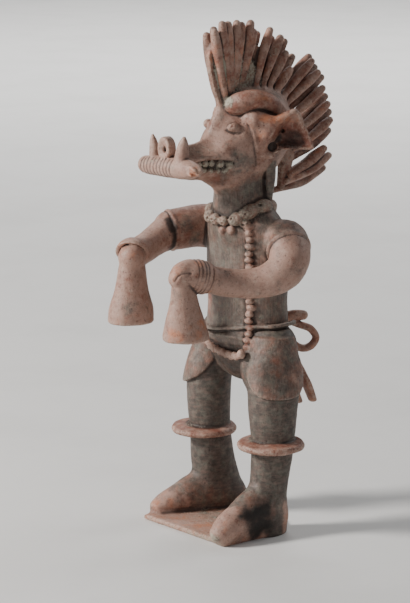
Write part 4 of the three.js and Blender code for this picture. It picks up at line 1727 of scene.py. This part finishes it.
@dataclass(frozen=True)
class FiredClay:
    """Burnished red-brown slip, worn, fire-clouded and crusted by burial, with painted shade in its hollows.
    """

    slip: Row = linear(120, 82, 66)
    pink: Row = linear(170, 136, 121)
    pale: Row = linear(196, 174, 158)
    warm: Row = linear(184, 118, 86)
    red: Row = linear(126, 72, 55)
    grey: Row = linear(75, 73, 68)
    green: Row = linear(98, 100, 91)
    crust: Row = linear(178, 172, 154)
    # dark earth for blotches and grit, also used as painted shade in hollows and grooves
    earth_and_shade: Row = linear(46, 32, 26)
    soot: Row = linear(24, 22, 21)
    upright_stroke: Row = (1.0, 1.0, 0.07)
    level_stroke: Row = (0.16, 0.16, 0.5)
    sheen: float = 0.45
    relief: float = 0.9

    def _marks(self, w: Wiring, effects: Effects, place: Socket) -> Marks:
        """Works out the shared masks.

        Args:
            w: wiring in the material.
            effects: the shared effects.
            place: the place on the figure, in millimetres.

        Returns:
            The masks.
        """
        mottle, blotch = w.noise(place, 6.5, 6.0, 0.66), w.noise(place, 2.2, 6.0, 0.72)
        bare = w.math("SUBTRACT", 1.0, w.math("MULTIPLY", w.written("grey"), 0.8), clamp=True)
        along = w.effect(effects.strokes, Place=w.stretch(place, self.upright_stroke), Size=1.0)
        around = w.effect(effects.strokes, Place=w.stretch(place, self.level_stroke), Size=1.1)
        stroke = w.mix(w.written("upright"), around, along)
        crust = w.effect(effects.patches, Place=place, Size=1.9, Cover=w.written("crust"))
        # fire clouds and painted shade: the soot strength with mottling
        cloud_and_shade = w.math("ADD", w.written("soot"), w.math("MULTIPLY", w.math("SUBTRACT", mottle, 0.5), 0.9))
        fine = w.effect(effects.grit, Place=place, Size=1.3, Cover=0.12)
        coarse = w.effect(effects.grit, Place=place, Size=2.6, Cover=0.05)
        return Marks(mottle, blotch, bare, stroke, crust, w.rise(cloud_and_shade, 0.12, 0.9, 0.94),
                     w.math("MAXIMUM", fine, coarse))

    def _fired(self, w: Wiring, effects: Effects, place: Socket) -> Socket:
        """Slip and fire clouds, in the patches that the modelling wrote on the mesh.

        Args:
            w: wiring in the material.
            effects: the shared effects.
            place: the place on the figure, in millimetres.

        Returns:
            The colour.
        """
        def patch(name: str, size: float) -> Socket:
            """Patchy cover of one kind of colour."""
            return w.effect(effects.patches, Place=place, Size=size, Cover=w.written(name))

        colour = w.mix(patch("pink", 13.0), self.slip, self.pink)
        colour = w.mix(patch("warm", 10.0), colour, self.warm)
        colour = w.mix(patch("red", 8.0), colour, self.red)
        olive = w.mix(w.rise(w.noise(place, 6.0), 0.42, 0.66), self.grey, self.green)
        return w.mix(w.math("MULTIPLY", patch("grey", 11.0), 0.86), colour, olive)

    def _aged(self, w: Wiring, place: Socket, marks: Marks, fired: Socket) -> Socket:
        """The fired colour, mottled, worn on the ridges, with earth, crust, soot and grit on it, and painted
        shade in the hollows.

        Args:
            w: wiring in the material.
            place: the place on the figure, in millimetres.
            marks: the shared masks.
            fired: the colour under it all.

        Returns:
            The finished colour.
        """
        chalk = w.rise(w.noise(place, 4.2, 6.0, 0.72), 0.48, 0.74, 0.5)
        worn = w.math("MULTIPLY", marks.bare, w.rise(marks.blotch, 0.6, 0.4))
        layers = (
            (w.math("MULTIPLY", w.rise(marks.mottle, 0.5, 0.3, 0.45), marks.bare), self.red),
            (w.math("MULTIPLY", chalk, marks.bare), self.pale),
            (w.rise(marks.stroke, 0.35, 0.7, 0.22), self.pink),
            (w.rise(marks.blotch, 0.5, 0.74, 0.5), self.earth_and_shade),
            (w.math("MULTIPLY", w.rise(w.written("ridge"), 0.2, 1.0, 0.5), worn), self.pale),
            # painted shade: hollows and drawn grooves pulled towards the dark earth colour, partly earth
            # lodged in them, partly the shade that falls there
            (w.rise(w.written("hollow"), 0.06, 0.7, 0.88), self.earth_and_shade),
            (w.math("MULTIPLY", marks.crust, 0.8), self.crust),
            # soot colour: fire clouds and deposits, and painted shade under the jaw and head roll, in the
            # ears and under the hem
            (marks.soot, self.soot),
            (w.math("MULTIPLY", marks.specks, 0.42), self.earth_and_shade),
        )
        colour = fired
        for share, over in layers:
            colour = w.mix(share, colour, over)
        return colour

    @staticmethod
    def _height(w: Wiring, place: Socket, marks: Marks) -> Socket:
        """Relief in millimetres: fine and coarse lumps, strokes and crust, less the pits of the grit."""
        height = w.math("MULTIPLY", w.noise(place, 0.8, 3.0, 0.6), 0.12)
        for part, tall in ((w.noise(place, 3.2, 4.0, 0.62), 0.3), (marks.stroke, 0.2), (marks.crust, 0.5)):
            height = w.math("ADD", height, w.math("MULTIPLY", part, tall))
        return w.math("SUBTRACT", height, w.math("MULTIPLY", marks.specks, 0.3))

    def build(self, effects: Effects) -> bpy.types.Material:
        """Makes the material.

        Args:
            effects: the shared effects.

        Returns:
            The clay material, which reads the strengths written on the mesh.
        """
        material, w, shader, place = new_material("fired_clay")
        marks = self._marks(w, effects, place)
        w.feed(shader.inputs["Base Color"], self._aged(w, place, marks, self._fired(w, effects, place)))
        rough = w.math("ADD", 0.42, w.math("MULTIPLY", marks.blotch, 0.24))
        dull = w.math("MULTIPLY", w.math("MAXIMUM", marks.crust, marks.soot), 0.22)
        w.feed(shader.inputs["Roughness"], w.math("ADD", rough, dull, clamp=True))
        shader.inputs["Specular IOR Level"].default_value = self.sheen
        bump = w.node("ShaderNodeBump")
        bump.inputs["Distance"].default_value = MM
        bump.inputs["Strength"].default_value = self.relief
        w.feed(bump.inputs["Height"], self._height(w, place, marks))
        w.feed(shader.inputs["Normal"], bump.outputs["Normal"])
        return material


def place_object(name: str, data: bpy.types.ID) -> bpy.types.Object:
    """Puts a mesh, a lamp or a camera in the scene as an object."""
    obj = bpy.data.objects.new(name, data)
    bpy.context.scene.collection.objects.link(obj)
    return obj


def read_rows(items: bpy.types.bpy_prop_collection, name: str, width: int, kind: type = np.float32) -> Grid:
    """One property of all points or edges of a mesh, a row for each."""
    values = np.zeros(len(items) * width, kind)
    items.foreach_get(name, values)
    return values.reshape(-1, width)


@dataclass
class Skin:
    """The finished clay as one Blender mesh, with the wear, dirt and painted light and shade of each place
    written on it.

    The skin is kneaded by lumps of (size, height, seed).
    """

    clay: ClayField
    obj: bpy.types.Object | None = None
    lumps: Sequence[Row] = ((13, 0.34, 1), (4.6, 0.13, 2))
    stroked_upright: Sequence[Tint] = (Tint.TUNIC, Tint.BELL, Tint.NECK, Tint.SLEEVE, Tint.HIP)
    feather_rounds: int = 4

    @staticmethod
    def _raw_mesh(points: Grid, quads: Grid) -> bpy.types.Mesh:
        """A mesh in millimetres from points and quads.

        Args:
            points: places of the points.
            quads: four point numbers per face.

        Returns:
            The mesh.
        """
        mesh = bpy.data.meshes.new("figure_raw")
        mesh.vertices.add(len(points))
        mesh.vertices.foreach_set("co", points.astype(np.float32).ravel())
        mesh.loops.add(quads.size)
        mesh.loops.foreach_set("vertex_index", quads.astype(np.int32).ravel())
        mesh.polygons.add(len(quads))
        mesh.polygons.foreach_set("loop_start", np.arange(0, quads.size, 4, dtype=np.int32))
        mesh.update(calc_edges=True)
        mesh.validate()
        return mesh

    def _knead(self, mesh: bpy.types.Mesh, points: Grid) -> None:
        """Makes the mesh a little uneven, stands it on the ground and turns it into metres.

        Args:
            mesh: the raw mesh.
            points: its points, in millimetres.
        """
        normals = read_rows(mesh.vertices, "normal", 3)
        shift = sum(height * lattice_noise(points, size, seed) for size, height, seed in self.lumps)
        points = points + normals * shift[:, None]
        points[:, 2] = np.maximum(points[:, 2], GROUND)
        points[:, 2] -= GROUND
        mesh.vertices.foreach_set("co", (points * MM).astype(np.float32).ravel())
        mesh.update()

    def make(self) -> bpy.types.Object:
        """Meshes the clay.

        Returns:
            The mesh object, in metres.
        """
        points, quads = surface_net(self.clay.values, self.clay.low, self.clay.pitch)
        log.info("skin: %d points, %d quads", len(points), len(quads))
        mesh = self._raw_mesh(points, quads)
        self._knead(mesh, points)
        raw = place_object("figure_raw", mesh)
        triangles = 2 * len(quads)
        if triangles > MOST_TRIANGLES:
            modifier = raw.modifiers.new("thin", "DECIMATE")
            modifier.ratio = MOST_TRIANGLES / triangles
        graph = bpy.context.evaluated_depsgraph_get()
        final = bpy.data.meshes.new_from_object(raw.evaluated_get(graph))
        final.name = "clay_figure"
        bpy.data.objects.remove(raw)
        final.polygons.foreach_set("use_smooth", np.ones(len(final.polygons), bool))
        self.obj = place_object("clay_figure", final)
        log.info("clay_figure: %d points, %d faces", len(final.vertices), len(final.polygons))
        return self.obj

    def _write(self, name: str, values: Grid) -> None:
        """Writes one strength per point on the mesh."""
        attribute = self.obj.data.attributes.new(name, "FLOAT", "POINT")
        attribute.data.foreach_set("value", values.astype(np.float32))

    def _relief(self, points: Grid) -> dict[str, Grid]:
        """How strongly each point lies in a hollow or a groove, and how strongly on a ridge."""
        close, wide = self.clay.fullness(points, 1), self.clay.fullness(points, 3)
        # the hollow strength, its wide blur included, also sets the painted shade in the clay's colour
        hollow = smooth_step(close, 0.52, 0.68) * 0.75 + smooth_step(wide, 0.56, 0.8) * 0.25
        return {"hollow": np.maximum(hollow, self.clay.scored_at(points)),
                "ridge": smooth_step(-close, -0.46, -0.3)}

    def paint(self, stains: Sequence[Stain]) -> None:
        """Writes on the mesh how strongly each kind of colour, hollow and ridge shows at each point.

        Args:
            stains: patches laid over the tints of the pieces.
        """
        mesh = self.obj.data
        points = read_rows(mesh.vertices, "co", 3) / MM + [0, 0, GROUND]
        normals = read_rows(mesh.vertices, "normal", 3)
        a, b = read_rows(mesh.edges, "vertices", 2, np.int32).T
        count = len(points)
        near = np.bincount(a, minlength=count) + np.bincount(b, minlength=count) + 1
        tints, relief = self.clay.tints_at(points), self._relief(points)
        for kind in Wash.__dataclass_fields__:
            value = np.array([getattr(tint.value, kind) for tint in Tint])[tints]
            for _ in range(self.feather_rounds):
                total = value + np.bincount(a, value[b], count) + np.bincount(b, value[a], count)
                value = total / near
            for stain in stains:
                if stain.kind == kind:
                    value = value + (stain.strength - value) * stain.cover(points, normals, relief)
            self._write(kind, value)
        upright = [list(Tint).index(tint) for tint in self.stroked_upright]
        self._write("upright", np.isin(tints, upright).astype(float))
        for name, value in relief.items():
            self._write(name, value)


@dataclass(frozen=True)
class Lamp:
    """A soft round lamp; it looks at the figure unless it has a place of its own to look at."""

    name: str
    place: Row
    size: float
    power: float
    colour: Row = (1.0, 1.0, 1.0)
    aim: Row = ()

    def hang(self, aim: Row) -> None:
        """Hangs the lamp and points it.

        Args:
            aim: place on the figure that it looks at.
        """
        lamp = bpy.data.lights.new(self.name, "AREA")
        lamp.shape, lamp.size, lamp.energy, lamp.color = "DISK", self.size, self.power, self.colour
        obj = place_object(self.name, lamp)
        obj.location = self.place
        look = Vector(self.aim or aim) - Vector(self.place)
        obj.rotation_euler = look.to_track_quat("-Z", "Y").to_euler()


@dataclass
class Studio:
    """Pale floor, soft light and the camera at the photograph's viewing angle."""

    effects: Effects
    aim: Row = (-0.004056, -0.022834, 0.193724)
    distance: float = 2.0
    azimuth: float = 50.0
    elevation: float = 12.0
    lens: float = 144.7
    sensor: float = 36.0
    sight: Row = (0.1, 30.0)
    floor_half: float = 40.0
    floor_light: Row = (0.76, 0.75, 0.73, 1)
    floor_dark: Row = (0.72, 0.71, 0.69, 1)
    sky: Row = (0.9, 0.92, 0.95, 1)
    sky_power: float = 0.2
    lamps: Sequence[Lamp] = (
        Lamp("key", (-0.95, -1.70, 1.25), 0.5, 74, (1.0, 0.97, 0.94)),
        Lamp("fill", (2.0, -1.4, 1.0), 1.6, 4, (0.95, 0.97, 1.0)),
        Lamp("back", (0.2, 2.1, 1.5), 0.9, 12),
        Lamp("floor_wash", (-2.6, 2.2, 2.6), 2.4, 150, aim=(-3.4, 2.9, 0.0)),
    )

    def floor(self) -> None:
        """Lays the floor, which isn't part of the figure."""
        mesh = bpy.data.meshes.new("floor")
        r = self.floor_half
        mesh.from_pydata([(-r, -r, 0), (r, -r, 0), (r, r, 0), (-r, r, 0)], [], [(0, 1, 2, 3)])
        obj = place_object("floor", mesh)
        material, w, shader, place = new_material("pale_floor")
        tone = w.effect(self.effects.patches, Place=place, Size=160.0, Cover=0.4)
        w.feed(shader.inputs["Base Color"], w.mix(tone, self.floor_light, self.floor_dark))
        dust = w.effect(self.effects.grit, Place=place, Size=9.0, Cover=0.05)
        w.feed(shader.inputs["Roughness"], w.math("ADD", 0.78, w.math("MULTIPLY", dust, 0.1)))
        mesh.materials.append(material)
        obj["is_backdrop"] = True

    def camera(self) -> None:
        """Camera at the photograph's viewing angle."""
        a, e = math.radians(self.azimuth), math.radians(self.elevation)
        back = Vector((math.sin(a) * math.cos(e), -math.cos(a) * math.cos(e), math.sin(e)))
        data = bpy.data.cameras.new("camera")
        data.lens, data.sensor_width = self.lens, self.sensor
        data.clip_start, data.clip_end = self.sight
        obj = place_object("camera", data)
        obj.location = Vector(self.aim) + back * self.distance
        obj.rotation_euler = (-back).to_track_quat("-Z", "Y").to_euler()
        bpy.context.scene.camera = obj

    def build(self) -> None:
        """Sets up floor, camera, lights and sky."""
        self.floor()
        self.camera()
        for lamp in self.lamps:
            lamp.hang(self.aim)
        world = bpy.data.worlds.new("studio_sky")
        world.use_nodes = True
        sky = world.node_tree.nodes["Background"].inputs
        sky["Color"].default_value = self.sky
        sky["Strength"].default_value = self.sky_power
        bpy.context.scene.world = world


STAINS: Sequence[Stain] = (
    # partly a fire cloud, partly painted shade: the left foot's outer side, which faces away from the key
    # lamp, darkened
    Stain("soot", (56, -15, 20), (13, 27, 34), 0.9, (1, -0.3, 0.1), 0.15),
    # painted light on the left heel: the dark is kept off it here
    Stain("soot", (58, 20, 20), (14, 16, 34), 0.05, (), 0.35),
    Stain("grey", (58, 20, 16), (12, 14, 26), 0.15, (), 0.35),
    Stain("soot", (-36, 8, 40), (20, 26, 34), 0.5, (0.6, -0.6, 0.2), 0.1),
    Stain("warm", (41, -38, 15), (15, 22, 14), 0.6, (-0.3, -0.6, 0.7)),
    Stain("pink", (42, -38, 16), (20, 34, 22), 1.0, (), 0.45),
    Stain("grey", (42, -38, 16), (20, 32, 22), 0.0, (), 0.5),
    Stain("crust", (40, -50, 9), (14, 14, 10), 0.7),
    # painted light: the left heel made pink and warm where a light from behind catches it, over its own warm
    # clay
    Stain("pink", (57, 18, 16), (14, 16, 28), 1.0, (), 0.35),
    Stain("warm", (57, 16, 14), (10, 12, 20), 0.5),
    Stain("crust", (30, -52, 3), (60, 26, 5), 0.5),
    Stain("pink", (55, -8, 30), (6, 8, 9), 0.9),
    Stain("warm", (-49, -30, 13), (14, 20, 12), 0.6),
    Stain("pink", (-48, -26, 14), (18, 28, 18), 1.0, (), 0.4),
    Stain("grey", (-48, -28, 14), (18, 26, 18), 0.1, (), 0.4),
    Stain("grey", (-12, -4, 6), (30, 26, 5), 0.6, (0, 0, 1)),
    Stain("crust", (-12, -14, 6), (34, 30, 5), 0.35, (0, 0, 1)),
    Stain("pink", (-20, -20, 6), (60, 50, 5), 0.9, (0, 0, 1)),
    Stain("crust", (40, 4, 82), (24, 24, 7), 0.5, (0, 0, 1)),
    Stain("crust", (-42, 4, 80), (24, 24, 7), 0.4, (0, 0, 1)),
    Stain("red", (58, -4, 110), (7, 14, 14), 0.6),
    Stain("red", (54, 0, 148), (12, 18, 18), 0.6),
    Stain("soot", (60, 8, 128), (12, 18, 12), 0.3),
    Stain("soot", (0, 0, 145), (32, 24, 18), 0.5),
    # painted shadow: a red-brown strip down the right front of the tunic, where the right bell and hand shade
    # it
    Stain("red", (-26, -4, 200), (14, 16, 34), 0.7),
    Stain("grey", (-26, -4, 200), (12, 16, 34), 0.2),
    # painted shadow under the tunic's hem, and painted shade in the creases round the rope
    Stain("soot", (4, 2, 160), (44, 30, 5), 0.3, (), 0.3, "hollow"),
    Stain("soot", (22, 4, 168.5), (34, 24, 6), 0.4),
    Stain("soot", (20, 0, 244), (26, 16, 12), 0.45),
    Stain("crust", (26, -6, 240), (10, 12, 26), 0.35, (), 0.2, "hollow"),
    Stain("pink", (40, 10, 262), (16, 20, 12), 0.8),
    # painted highlight: the front left of the neck, facing the key lamp, made pale pinkish grey
    Stain("pink", (-8, -14, 292), (18, 14, 24), 0.8, (-0.5, -0.8, 0.1)),
    Stain("grey", (-8, -14, 292), (18, 14, 24), 0.45, (-0.5, -0.8, 0.1)),
    Stain("crust", (44, 8, 258), (16, 20, 14), 0.2),
    Stain("soot", (-43, -29, 247), (14, 7, 22), 0.85, (), 0.4),
    Stain("grey", (-36, -12, 250), (16, 20, 20), 0.5, (), 0.3),
    Stain("red", (-34, -8, 244), (14, 16, 16), 0.35),
    # painted shade: the right forearm and its bell darkened to red-brown, as they are in shade
    Stain("red", (-44, -44, 240), (22, 46, 22), 0.4),
    Stain("red", (-36, -78, 208), (24, 24, 42), 0.32),
    Stain("red", (-46, -50, 234), (18, 24, 10), 0.6, (0, -0.2, -0.9)),
    Stain("warm", (-46, -52, 236), (16, 22, 10), 0.5, (0, -0.4, -0.8)),
    Stain("warm", (-36, -78, 236), (12, 10, 10), 0.5),
    Stain("warm", (29, -78, 182), (20, 22, 9), 0.75),
    Stain("warm", (44, -66, 190), (10, 18, 20), 0.45),
    Stain("grey", (34, -84, 212), (14, 10, 14), 0.5),
    Stain("warm", (-36, -76, 184), (20, 22, 6), 0.7),
    Stain("grey", (-30, -84, 196), (14, 12, 12), 0.5),
    Stain("soot", (-30, -86, 183), (12, 10, 5), 0.4),
    # painted highlight: the top of the left arm, facing up, made pinker
    Stain("pink", (46, -24, 226), (22, 30, 12), 1.0, (0, -0.4, 0.8)),
    # painted highlight: the top of the muzzle, facing up, made pale pink
    Stain("pink", (10, -44, 322), (16, 40, 14), 1.0, (0.3, 0, 0.9)),
    Stain("crust", (8, -44, 326), (14, 34, 10), 0.3, (0.2, 0, 0.9)),
    Stain("grey", (22, -12, 312), (14, 20, 16), 0.6),
    Stain("red", (12, -26, 298), (16, 26, 10), 0.5),
    # painted shade: the underside of the jaw, facing down, darkened
    Stain("soot", (8, -20, 296), (20, 22, 10), 0.4, (0, -0.3, -0.9)),
    Stain("warm", (31, 8, 338), (8, 12, 16), 0.4),
    Stain("warm", (34, 18, 348), (16, 18, 7), 0.8),
    # painted shade: the hollows of both ears darkened, red-brown and soot on the left, soot on the right
    Stain("red", (44, 31, 332), (17, 20, 15), 1.0, (), 0.5),
    Stain("soot", (42, 29, 330), (15, 17, 13), 0.66, (), 0.4),
    Stain("soot", (-42, 29, 330), (15, 17, 13), 0.6, (), 0.4),
    Stain("pink", (50, 38, 345), (12, 14, 12), 0.7, (), 0.2, "ridge"),
    Stain("crust", (9.5, -9, 361), (9, 8, 8), 0.75),
    Stain("grey", (9.5, -9, 361), (10, 9, 9), 0.8),
    Stain("warm", (28, 14, 365), (14, 18, 8), 0.7, (0.3, 0, 1)),
    # painted shade: the underside of the head roll, facing down, darkened
    Stain("soot", (26, 10, 354), (16, 24, 6), 0.5, (0.3, 0, -1)),
    Stain("warm", (4, -24, 396), (8, 7, 18), 0.7),
    Stain("crust", (6, -6, 386), (10, 24, 26), 0.95, (), 0.3, "hollow"),
    Stain("crust", (8, 4, 372), (10, 22, 14), 0.45),
    Stain("crust", (6, 44, 396), (10, 16, 14), 0.3),
    Stain("soot", (8, 50, 398), (8, 9, 9), 0.5),
    Stain("soot", (6, 66, 352), (12, 22, 22), 0.35, (), 0.2, "hollow"),
    Stain("warm", (38, -70, 312), (8, 8, 8), 0.8),
    Stain("pink", (20, -70, 314), (22, 12, 12), 1.0),
    Stain("crust", (-14, -70, 316), (20, 10, 8), 0.3),
)


def model_figure(pitch: float) -> ClayField:
    """Builds the whole figure in clay, in the order in which the maker would.

    Args:
        pitch: distance between the grid's points, in millimetres.

    Returns:
        The finished clay.
    """
    clay = ClayField(SKIN_LOW, SKIN_HIGH, pitch)
    torso = Torso()
    pieces = (
        BasePlate(), LEFT_LEG, RIGHT_LEG, torso, Hips(), Sash(), LEFT_ARM, RIGHT_ARM, Crest(), Face(),
        HeadRolls(), Ear(Side.LEFT), Ear(Side.RIGHT), HangingBands(), NoseBar(), Collar(), Lacing(torso))
    for piece in pieces:
        piece.model(clay)
        log.info("modelled %s", type(piece).__name__)
    clay.level(GROUND)
    return clay


def corners() -> list[list[float]]:
    """The shown object's box as plain lists."""
    return [list(corner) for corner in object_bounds()]


def main() -> None:
    """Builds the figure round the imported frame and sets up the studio."""
    logging.basicConfig(level=logging.INFO, format="%(name)s: %(message)s")
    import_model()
    clay = model_figure(FINE_PITCH)
    skin = Skin(clay)
    figure = skin.make()
    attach(figure, BODY)
    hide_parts(NODE)
    skin.paint(STAINS)
    effects = Effects().build()
    figure.data.materials.append(FiredClay().build(effects))
    Studio(effects).build()


if __name__ == "__main__":
    main()
